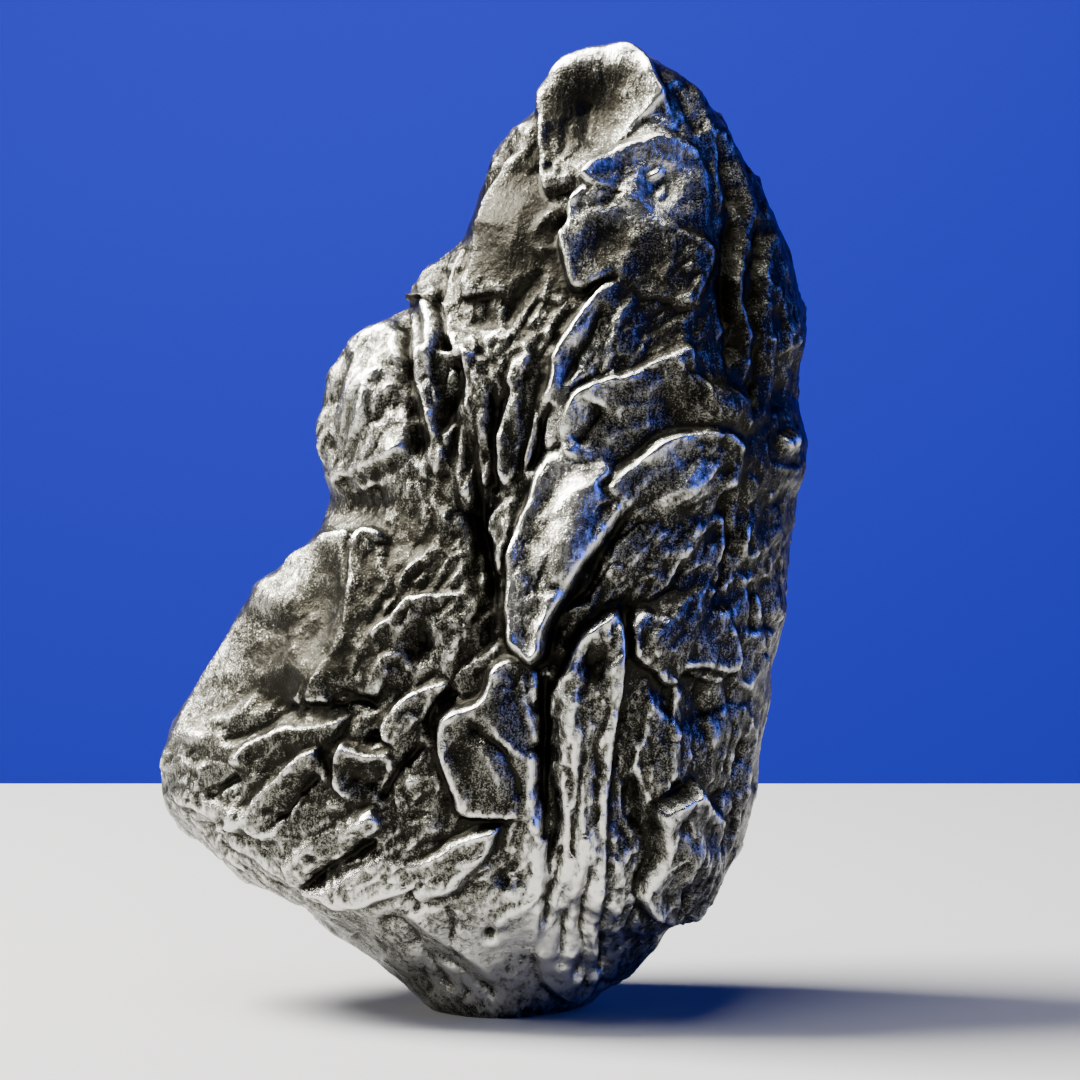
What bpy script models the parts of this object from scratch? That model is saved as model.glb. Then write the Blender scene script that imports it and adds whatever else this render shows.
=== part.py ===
"""An iron meteorite: one natural lump of nickel-iron, 62 mm tall, standing on its narrow foot.

Run with: blender --background --python part.py
The body is lofted from level sections, evened out, given its relief, thinned and cut flat at the foot.
Shaping is in millimetres. The finished mesh is in metres, with +Z up and the face towards -Y.
"""

import math

import bmesh
import bpy
import numpy as np
from mathutils import noise

# Driving dimensions, in millimetres.
HEIGHT = 62.0
EVEN_MESH = 0.36
BODY_PASSES = 4
RELIEF_PASSES = 2
SECTION_STEP = 0.26
POINTS_ROUND = 96
FACE_BUDGET = 8600

# The face is laid out on a map whose units are HEIGHT / MAP_ROWS across and down.
MAP_ROWS = 964
MAP_TOP = 42
MAP_FOOT = MAP_TOP + MAP_ROWS
MAP_MIDDLE = 482.5
UNIT = HEIGHT / MAP_ROWS

# The map is drawn as the face is seen from this point, so forward parts spread a little on it.
SIGHT_POINT = np.array([3.7, -249.4, 47.4])

# The body is moved by this much so that its box stands centred on the origin.
CENTRING = np.array([-0.09, 0.6, 0.0])

# Nickel-iron, brushed bright, with dark oxide left in the hollows.
METAL_COLOUR = (0.36, 0.34, 0.31, 1.0)
METAL_ROUGHNESS = 0.34
METAL_METALLIC = 1.0

# Level sections on the map: down, left edge, right edge.
OUTLINE = [
    (51, 600, 614), (53, 590, 626), (57, 577, 643), (65, 562, 661), (75, 553, 682), (87, 547, 698),
        (100, 540, 709),
    (113, 530, 718), (128, 513, 730), (150, 500, 742), (175, 488, 758), (205, 479, 769),
        (235, 466, 780), (255, 438, 788),
    (263, 424, 791), (285, 414, 796), (305, 411, 802), (315, 386, 804), (330, 366, 806),
        (345, 351, 805), (365, 333, 800), (390, 322, 797),
    (420, 316, 801), (437, 317, 805), (460, 323, 801), (490, 331, 790), (508, 325, 790),
        (525, 317, 790), (545, 300, 788),
    (562, 278, 786), (580, 254, 786), (605, 240, 787), (630, 229, 780), (655, 213, 773),
        (690, 191, 770), (725, 171, 764),
    (760, 159, 758), (785, 160, 754), (803, 166, 749), (830, 190, 742), (850, 210, 736),
        (872, 240, 727), (893, 277, 716),
    (905, 300, 706), (914, 314, 696), (922, 324, 671), (935, 340, 664), (950, 357, 653),
        (965, 380, 640), (980, 400, 622),
    (992, 412, 600), (1002, 424, 575), (1010, 432, 560), (1020, 440, 550)]

# Level sections: down, column of the most forward line, front depth and back depth in mm.
DEPTHS = [
    (51, 602, 2.0, 0.8), (54, 602, 2.9, 1.8), (60, 603, 3.7, 2.8), (70, 604, 4.3, 3.8),
        (90, 606, 4.9, 5.0), (120, 610, 5.6, 6.2),
    (160, 618, 6.6, 7.4), (210, 626, 7.8, 8.8), (270, 622, 8.8, 10.0), (340, 620, 9.8, 11.0),
    (420, 622, 10.4, 11.6), (500, 608, 10.8, 12.0), (580, 580, 11.2, 12.0), (660, 556, 11.4, 11.8),
    (740, 540, 11.4, 11.2), (800, 528, 11.2, 10.4), (850, 515, 10.8, 9.6), (885, 500, 10.0, 8.9),
        (920, 495, 8.2, 8.0),
    (955, 495, 6.6, 6.9), (985, 495, 5.2, 5.9), (1006, 495, 4.4, 5.2), (1020, 495, 4.1, 5.0)]

# How full each quarter of a section is. 2 is an ellipse, less is nearer a wedge, more is squarer.
LEFT_FULLNESS = 1.85
RIGHT_FULLNESS = 2.1
BACK_FULLNESS = 2.2
CROWN_FULLNESS = 1.2
CROWN_ROWS = (90, 170)

# Drawn relief: form, height mm, width mm, points on the map.
# A ledge is raised on the left hand of someone who travels along its points.
RIDGE = "ridge"
GROOVE = "groove"
LEDGE = "ledge"

# How far each form reaches, as a share of its width, and how quickly its reach fades.
LINE_REACH = {RIDGE: 1.15, GROOVE: 1.0, LEDGE: 0.8}
LINE_FADE = 1.5

# Roundness of a crest and of a ledge's lip, in mm.
CREST_ROUNDING = 0.3
LIP_ROUNDING = 0.35

# The crown: a rounded rim round a scoop, and under it a second scoop with a rough pit.
CROWN = [
    (RIDGE, 0.56, 0.55, [(540, 116), (543, 90), (550, 73), (565, 62), (585, 54), (605, 50), (625, 54),
        (640, 63), (650, 78), (658, 92), (664, 106), (673, 124)]),
    (LEDGE, 0.36, 1.6, [(541, 112), (542, 132), (543, 160), (545, 186), (556, 187), (568, 183),
        (580, 176)]),
    (GROOVE, 0.2, 0.4, [(565, 112), (563, 135), (562, 158), (563, 180)]),
    (GROOVE, 0.16, 0.35, [(552, 120), (553, 145), (555, 175)]),
    (GROOVE, 0.23, 0.35, [(590, 90), (585, 115), (580, 140)]),
    (GROOVE, 0.45, 0.35, [(583, 183), (572, 196), (566, 212), (562, 235)]),
    (RIDGE, 0.38, 0.5, [(640, 112), (650, 118), (662, 122), (675, 128)]),
    (RIDGE, 0.52, 0.5, [(568, 226), (572, 208), (578, 193), (585, 176), (594, 162), (606, 152),
        (620, 144), (640, 139), (656, 134), (672, 136), (686, 142), (700, 158)]),
    (LEDGE, 0.23, 0.8, [(700, 158), (686, 142), (672, 136), (656, 134), (640, 139), (620, 144),
        (606, 152), (594, 162)]),
    (RIDGE, 0.34, 0.45, [(598, 188), (610, 191), (622, 193), (635, 198), (648, 210), (663, 221),
        (680, 228), (698, 237), (713, 248)]),
    (LEDGE, 0.27, 1.0, [(569, 218), (563, 236), (565, 255), (567, 272), (571, 284), (584, 287),
        (596, 280), (607, 274), (616, 267)]),
    (RIDGE, 0.22, 0.25, [(637, 228), (629, 245), (622, 262), (618, 280)]),
    (RIDGE, 0.19, 0.25, [(647, 223), (643, 240), (640, 256)]),
    (RIDGE, 0.26, 0.4, [(668, 228), (672, 245), (668, 262), (660, 280)]),
    (RIDGE, 0.3, 0.3, [(553, 200), (546, 218), (539, 234), (538, 247), (547, 250), (560, 243),
        (566, 231)]),
    (RIDGE, 0.15, 0.35, [(668, 92), (676, 106), (684, 120)]),
    (RIDGE, 0.26, 0.3, [(690, 75), (697, 95), (706, 118)]),
    (GROOVE, 0.45, 0.4, [(672, 84), (680, 98), (688, 114), (698, 134)]),
]

# The ridges that run down the upper left edge to the finger.
UPPER_LEFT = [
    (RIDGE, 0.45, 0.4, [(528, 114), (515, 132), (501, 155), (491, 176), (485, 197), (478, 225),
        (470, 243)]),
    (LEDGE, 0.32, 0.9, [(533, 132), (513, 165), (503, 186), (498, 206), (492, 226), (479, 251),
        (472, 265), (468, 280), (467, 296)]),
    (RIDGE, 0.3, 0.35, [(534, 130), (513, 165), (503, 186), (498, 206), (492, 226), (479, 251),
        (472, 265), (468, 280), (467, 296)]),
    (LEDGE, 0.36, 1.2, [(467, 297), (482, 293), (496, 288), (507, 291), (520, 282), (533, 273),
        (547, 264)]),
    (RIDGE, 0.3, 0.35, [(470, 243), (460, 260), (451, 279), (447, 300), (447, 320), (452, 336),
        (461, 349)]),
    (LEDGE, 0.23, 0.6, [(445, 262), (444, 290), (444, 320), (448, 345)]),
    (GROOVE, 0.78, 0.35, [(446, 258), (445, 290), (444, 322), (449, 350)]),
    (RIDGE, 0.38, 0.4, [(424, 262), (417, 290), (415, 320), (418, 350), (424, 372)]),
    (RIDGE, 0.22, 0.3, [(436, 262), (433, 290), (431, 320), (434, 350)]),
    (GROOVE, 1.17, 0.45, [(412, 306), (406, 330), (405, 360), (407, 395), (412, 430), (420, 462)]),
    (RIDGE, 0.3, 0.3, [(405, 325), (397, 340), (399, 361)]),
    (RIDGE, 0.26, 0.3, [(525, 150), (516, 175), (510, 200), (508, 225), (500, 250)]),
    (RIDGE, 0.26, 0.3, [(538, 192), (528, 215), (522, 240), (510, 262)]),
    (RIDGE, 0.22, 0.3, [(505, 300), (500, 320), (502, 340)]),
    (RIDGE, 0.22, 0.3, [(548, 268), (545, 290), (536, 310), (532, 322)]),
    (RIDGE, 0.22, 0.25, [(562, 292), (555, 310), (550, 322)]),
]

# The rough lobe that stands out at the left of the middle.
LEFT_LOBE = [
    (RIDGE, 0.3, 0.5, [(398, 318), (375, 326), (355, 345), (340, 362), (330, 385), (323, 412),
        (324, 440), (332, 462)]),
    (RIDGE, 0.26, 0.25, [(392, 345), (375, 358), (360, 376), (352, 398)]),
    (RIDGE, 0.26, 0.25, [(398, 375), (385, 385), (372, 402), (358, 425), (350, 448)]),
    (RIDGE, 0.22, 0.25, [(396, 405), (386, 420), (377, 438), (365, 455)]),
    (RIDGE, 0.22, 0.25, [(352, 372), (343, 392), (338, 415), (340, 440)]),
    (RIDGE, 0.19, 0.2, [(385, 360), (370, 378), (364, 392)]),
    (RIDGE, 0.19, 0.2, [(395, 430), (384, 445), (374, 458)]),
    (LEDGE, 0.16, 1.2, [(332, 482), (350, 471), (374, 461), (396, 449), (408, 440)]),
    (RIDGE, 0.22, 0.25, [(345, 490), (360, 485), (380, 478), (398, 470)]),
    (RIDGE, 0.22, 0.25, [(375, 500), (388, 490), (400, 487), (413, 478)]),
]

# The narrow upright folds left of the middle.
MIDDLE_FOLDS = [
    (RIDGE, 0.38, 0.3, [(414, 358), (420, 380), (428, 402), (434, 420), (439, 437)]),
    (RIDGE, 0.38, 0.3, [(463, 393), (455, 411), (446, 440), (441, 455), (437, 475), (434, 494),
        (440, 508), (455, 526)]),
    (RIDGE, 0.3, 0.25, [(464, 344), (468, 360), (477, 371), (484, 386), (478, 396), (475, 416),
        (470, 436)]),
    (RIDGE, 0.22, 0.25, [(480, 328), (475, 345), (486, 360)]),
    (RIDGE, 0.3, 0.25, [(459, 414), (461, 440), (466, 462), (468, 481), (462, 500), (463, 520),
        (467, 542), (471, 566)]),
    (LEDGE, 0.27, 0.6, [(511, 358), (508, 375), (512, 388), (505, 410), (500, 428), (497, 445)]),
    (RIDGE, 0.3, 0.25, [(532, 384), (521, 395), (513, 410), (506, 427), (501, 441), (500, 465),
        (505, 481)]),
    (LEDGE, 0.27, 0.6, [(543, 354), (546, 370), (543, 385), (537, 399), (533, 424), (528, 445),
        (525, 465), (520, 477)]),
    (RIDGE, 0.22, 0.25, [(543, 354), (546, 370), (543, 385), (537, 399), (533, 424), (528, 445),
        (525, 465), (520, 477)]),
    (RIDGE, 0.34, 0.3, [(498, 499), (488, 510), (484, 524), (491, 532), (497, 545), (500, 566)]),
    (RIDGE, 0.22, 0.25, [(511, 519), (505, 540), (500, 561), (497, 582), (499, 606), (499, 628)]),
    (RIDGE, 0.22, 0.22, [(478, 540), (478, 560), (480, 585), (478, 605)]),
    (RIDGE, 0.22, 0.22, [(488, 400), (486, 425), (488, 450), (484, 475), (478, 490)]),
    (RIDGE, 0.22, 0.22, [(450, 455), (452, 475), (450, 495)]),
    (RIDGE, 0.22, 0.22, [(425, 440), (424, 465), (420, 488), (424, 510), (430, 530)]),
    (RIDGE, 0.22, 0.22, [(410, 470), (405, 490), (396, 508), (394, 525)]),
    (GROOVE, 1.04, 0.4, [(455, 350), (459, 372), (452, 392), (447, 415), (441, 432)]),
    (GROOVE, 0.91, 0.35, [(495, 375), (492, 400), (493, 425), (490, 455), (492, 478), (496, 492)]),
    (GROOVE, 1.17, 0.4, [(552, 398), (545, 415), (540, 436), (536, 455), (528, 472)]),
    (GROOVE, 1.04, 0.4, [(475, 480), (475, 510), (482, 545), (490, 580), (492, 610), (488, 640),
        (478, 660)]),
    (RIDGE, 0.26, 0.25, [(520, 335), (528, 352), (528, 372)]),
]

# The long pair of ridges, the tongue they end in, and the smooth lobe to their right.
CENTRE = [
    # the long pair of ridges that run down from under the crown
    (LEDGE, 0.54, 1.6, [(618, 277), (601, 285), (590, 297), (580, 310), (570, 325), (560, 338),
        (553, 351), (552, 366), (550, 381), (544, 395)]),
    (RIDGE, 0.41, 0.35, [(618, 277), (601, 285), (590, 297), (580, 310), (570, 325), (560, 338),
        (553, 351), (552, 366), (550, 381), (544, 395)]),
    (RIDGE, 0.45, 0.4, [(633, 294), (625, 305), (618, 320), (613, 335), (606, 350), (595, 364),
        (583, 373), (575, 385), (568, 401), (564, 420), (560, 436)]),
    (GROOVE, 0.52, 0.4, [(606, 300), (597, 315), (590, 332), (580, 350), (570, 368), (564, 385)]),
    (RIDGE, 0.45, 0.4, [(559, 440), (565, 450), (580, 458), (598, 456), (609, 465), (596, 480),
        (577, 490), (560, 500)]),
    (GROOVE, 0.65, 0.4, [(600, 400), (590, 420), (578, 440)]),
    (LEDGE, 0.36, 0.9, [(552, 445), (540, 463), (534, 480), (529, 496), (524, 513), (516, 530)]),
    (LEDGE, 0.85, 1.9, [(520, 526), (512, 545), (509, 566), (508, 592), (508, 618), (509, 637),
        (519, 649), (530, 661), (540, 655), (546, 641), (551, 622), (560, 603), (570, 588)]),
    (RIDGE, 0.3, 0.3, [(516, 535), (511, 552), (509, 575), (508, 600), (508, 620), (510, 637),
        (519, 649), (530, 660), (540, 655), (546, 641)]),
    (RIDGE, 0.38, 0.35, [(602, 480), (581, 492), (560, 505), (545, 515), (530, 534), (516, 545)]),
    (RIDGE, 0.26, 0.35, [(536, 548), (533, 575), (532, 600), (534, 625)]),
    (LEDGE, 0.41, 1.0, [(570, 588), (585, 562), (600, 545), (615, 521), (628, 505), (642, 489)]),
    (RIDGE, 0.26, 0.35, [(548, 580), (562, 572), (575, 560), (588, 545), (600, 530)]),
    (GROOVE, 0.91, 0.4, [(600, 552), (590, 575), (578, 590), (560, 612), (552, 640)]),
    # scoop and bars right of the pair
    (RIDGE, 0.38, 0.35, [(608, 373), (630, 370), (650, 358), (670, 350), (690, 343)]),
    (LEDGE, 0.23, 0.8, [(690, 343), (670, 350), (650, 358), (630, 370), (608, 373)]),
    (RIDGE, 0.26, 0.25, [(640, 388), (656, 378), (676, 365)]),
    (RIDGE, 0.22, 0.25, [(623, 396), (645, 388), (658, 382)]),
    (RIDGE, 0.26, 0.3, [(612, 412), (628, 404), (648, 402), (668, 398)]),
    (RIDGE, 0.22, 0.25, [(606, 440), (622, 428), (640, 425), (655, 418)]),
    (RIDGE, 0.45, 0.45, [(688, 344), (693, 365), (704, 379), (721, 385), (738, 395), (745, 410),
        (743, 431)]),
    (LEDGE, 0.45, 1.2, [(743, 448), (730, 434), (710, 429), (690, 428), (665, 433), (650, 441),
        (636, 456)]),
    (RIDGE, 0.26, 0.25, [(743, 436), (730, 431), (710, 426), (690, 426), (665, 431), (650, 440),
        (635, 455)]),
    (RIDGE, 0.34, 0.3, [(618, 502), (628, 490), (642, 480), (662, 466), (682, 458)]),
    # slanting bars below the smooth lobe
    (RIDGE, 0.34, 0.35, [(668, 525), (650, 540), (635, 555), (624, 572), (615, 592)]),
    (RIDGE, 0.34, 0.35, [(700, 515), (688, 535), (680, 553), (672, 574), (660, 588), (644, 597)]),
    (RIDGE, 0.26, 0.3, [(640, 508), (622, 530), (610, 550), (600, 575)]),
    (RIDGE, 0.22, 0.25, [(682, 520), (665, 540), (655, 556)]),
    (RIDGE, 0.34, 0.35, [(720, 590), (706, 584), (692, 592), (676, 600), (668, 616)]),
    (RIDGE, 0.26, 0.3, [(655, 574), (640, 570), (628, 580), (616, 590)]),
    (RIDGE, 0.26, 0.3, [(722, 508), (724, 530), (722, 555), (718, 580)]),
    (GROOVE, 1.04, 0.4, [(735, 480), (728, 500), (732, 530), (728, 560), (722, 585), (720, 610)]),
    (GROOVE, 0.78, 0.4, [(600, 600), (618, 606), (640, 600), (660, 590), (676, 575), (684, 552)]),
]

# The upright folds and knobs of the right flank.
RIGHT_FLANK = [
    (RIDGE, 0.38, 0.35, [(699, 94), (705, 120), (712, 150), (715, 180), (720, 212)]),
    (RIDGE, 0.38, 0.35, [(722, 128), (735, 155), (746, 190), (750, 220), (745, 250), (738, 280),
        (742, 310), (748, 332), (745, 360), (740, 386)]),
    (GROOVE, 1.17, 0.4, [(712, 130), (725, 165), (733, 205), (730, 240), (726, 275), (728, 310),
        (730, 345), (728, 372)]),
    (RIDGE, 0.38, 0.35, [(765, 190), (775, 215), (770, 250), (765, 281), (768, 310), (772, 341),
        (768, 371), (764, 401), (755, 431)]),
    (GROOVE, 1.04, 0.4, [(757, 210), (757, 250), (752, 290), (758, 330), (756, 370), (750, 410)]),
    (RIDGE, 0.3, 0.3, [(785, 250), (783, 290), (788, 322), (786, 350)]),
    (LEDGE, 0.27, 0.6, [(778, 352), (790, 344), (802, 337)]),
    (GROOVE, 0.78, 0.35, [(778, 300), (780, 340), (778, 380), (772, 410)]),
    (LEDGE, 0.32, 0.8, [(801, 460), (788, 462), (772, 458), (768, 440), (772, 420)]),
    (RIDGE, 0.26, 0.3, [(756, 458), (768, 470), (784, 476), (796, 474)]),
    (RIDGE, 0.26, 0.3, [(752, 470), (760, 486), (772, 494)]),
    (LEDGE, 0.32, 0.7, [(741, 512), (743, 540), (747, 555), (760, 549), (771, 540), (778, 520)]),
    (RIDGE, 0.26, 0.25, [(742, 556), (756, 552), (768, 543)]),
    (RIDGE, 0.38, 0.3, [(740, 566), (745, 579), (748, 600), (747, 625), (745, 642)]),
    (RIDGE, 0.38, 0.3, [(757, 588), (759, 612), (760, 635), (764, 651)]),
    (GROOVE, 0.91, 0.35, [(752, 575), (754, 600), (754, 630)]),
    (GROOVE, 0.91, 0.35, [(766, 570), (768, 600), (772, 630)]),
    (RIDGE, 0.3, 0.3, [(784, 566), (776, 580), (778, 600), (782, 620)]),
    (RIDGE, 0.45, 0.4, [(768, 652), (759, 662), (751, 673), (742, 687)]),
    (RIDGE, 0.3, 0.3, [(742, 700), (750, 717), (762, 728)]),
    (RIDGE, 0.38, 0.4, [(766, 712), (759, 740), (753, 770), (747, 800), (738, 832), (727, 858),
        (712, 885)]),
    (GROOVE, 0.91, 0.35, [(745, 730), (742, 760), (735, 785), (722, 800), (720, 830), (716, 858)]),
]

# The striped column below the tongue and the raised plate at its left.
COLUMN_AND_PLATE = [
    (RIDGE, 0.3, 0.25, [(552, 628), (560, 617), (571, 607), (585, 601), (600, 601), (612, 594),
        (625, 590)]),
    (LEDGE, 0.45, 1.4, [(616, 612), (607, 606), (600, 609), (590, 617), (581, 629), (574, 642),
        (568, 660), (560, 676)]),
    (RIDGE, 0.26, 0.25, [(574, 643), (580, 629), (590, 616), (600, 609), (607, 605), (616, 613)]),
    (LEDGE, 0.63, 1.6, [(590, 960), (598, 930), (602, 900), (607, 870), (606, 840), (608, 800),
        (610, 760), (614, 720), (619, 690), (621, 655), (621, 612)]),
    (RIDGE, 0.3, 0.3, [(618, 612), (617, 655), (614, 690), (606, 725), (602, 770), (600, 820),
        (603, 860), (596, 905), (590, 950)]),
    (RIDGE, 0.26, 0.28, [(598, 700), (590, 735), (582, 775), (580, 815), (588, 845), (592, 865)]),
    (RIDGE, 0.26, 0.28, [(575, 672), (572, 705), (567, 740), (563, 780), (566, 820), (568, 860),
        (562, 900)]),
    (GROOVE, 0.59, 0.28, [(604, 735), (598, 770), (596, 810), (598, 840)]),
    (GROOVE, 0.65, 0.3, [(588, 740), (580, 770), (576, 800), (572, 830), (574, 860)]),
    (GROOVE, 0.65, 0.3, [(594, 860), (588, 885), (584, 910), (583, 945), (572, 975)]),
    (GROOVE, 0.78, 0.35, [(557, 690), (553, 730), (552, 770), (556, 810), (552, 850), (548, 880)]),
    (GROOVE, 0.65, 0.3, [(562, 840), (558, 870), (550, 900), (542, 930)]),
    (GROOVE, 0.52, 0.3, [(575, 900), (566, 930), (558, 965)]),
    (GROOVE, 0.78, 0.35, [(602, 900), (600, 930), (601, 960), (601, 975)]),
    (GROOVE, 1.43, 0.45, [(545, 668), (544, 700), (545, 740), (544, 780), (545, 820), (546, 845)]),
    # the raised plate left of the column
    (LEDGE, 0.59, 1.6, [(522, 655), (506, 656), (496, 662), (490, 675), (483, 689), (474, 699),
        (463, 703), (450, 710), (440, 722), (438, 742), (443, 765), (448, 781), (455, 796),
        (461, 812), (480, 816), (500, 816), (518, 815)]),
    (RIDGE, 0.3, 0.3, [(518, 656), (505, 657), (495, 663), (489, 676), (482, 690), (473, 700),
        (463, 705), (450, 712), (441, 723), (440, 742)]),
    (RIDGE, 0.3, 0.28, [(443, 744), (458, 740), (473, 742), (485, 748), (493, 761), (498, 776),
        (501, 800)]),
    (RIDGE, 0.34, 0.3, [(477, 704), (490, 718), (504, 735), (515, 746), (528, 756)]),
    (RIDGE, 0.22, 0.25, [(486, 752), (492, 770), (495, 795)]),
    (GROOVE, 0.65, 0.3, [(470, 712), (480, 728), (495, 738), (508, 752), (516, 775), (518, 800)]),
    (RIDGE, 0.26, 0.3, [(522, 668), (526, 700), (534, 730), (540, 744)]),
    (RIDGE, 0.41, 0.6, [(531, 745), (531, 780), (532, 812), (536, 838)]),
    (RIDGE, 0.3, 0.3, [(538, 834), (532, 843), (522, 846)]),
]

# The slotted lip, the recess and the blunt toe at the lower right.
LOWER_RIGHT = [
    (LEDGE, 0.41, 0.8, [(680, 667), (690, 672), (703, 676), (716, 677), (728, 672)]),
    (RIDGE, 0.38, 0.3, [(681, 657), (690, 662), (701, 666), (715, 671), (727, 672)]),
    (RIDGE, 0.3, 0.3, [(655, 668), (661, 677), (668, 682), (676, 675)]),
    (RIDGE, 0.26, 0.3, [(647, 694), (657, 700), (668, 698)]),
    (RIDGE, 0.34, 0.3, [(704, 713), (711, 726), (709, 743), (697, 753)]),
    (LEDGE, 0.27, 0.9, [(678, 725), (678, 745), (671, 762), (665, 780), (662, 796)]),
    (RIDGE, 0.26, 0.3, [(678, 725), (678, 745), (671, 762), (665, 780)]),
    (RIDGE, 0.26, 0.3, [(645, 735), (637, 750), (638, 770), (645, 785)]),
    (RIDGE, 0.3, 0.3, [(720, 748), (706, 762), (700, 780)]),
    (GROOVE, 1.3, 0.5, [(625, 690), (618, 730), (616, 770), (614, 810), (613, 840)]),
    (GROOVE, 0.91, 0.5, [(636, 770), (640, 800), (645, 828), (652, 850), (645, 880), (640, 905)]),
    (RIDGE, 0.3, 0.25, [(623, 778), (626, 800), (630, 825), (638, 838)]),
    (LEDGE, 0.45, 1.2, [(690, 778), (680, 790), (665, 798), (654, 806), (656, 830), (658, 850),
        (648, 878), (641, 895), (645, 907), (656, 914), (676, 917), (692, 914), (704, 905)]),
    (RIDGE, 0.38, 0.4, [(641, 893), (646, 905), (657, 912), (676, 915), (691, 912), (702, 903)]),
    (RIDGE, 0.34, 0.35, [(690, 779), (681, 790), (667, 797), (655, 806)]),
    (RIDGE, 0.22, 0.3, [(684, 836), (682, 860), (683, 885), (686, 900)]),
    (RIDGE, 0.22, 0.25, [(656, 862), (662, 875), (668, 890)]),
    (RIDGE, 0.26, 0.3, [(612, 850), (622, 870), (625, 895), (618, 920), (622, 945)]),
    (RIDGE, 0.26, 0.3, [(640, 855), (632, 880), (636, 910), (645, 930)]),
]

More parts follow.
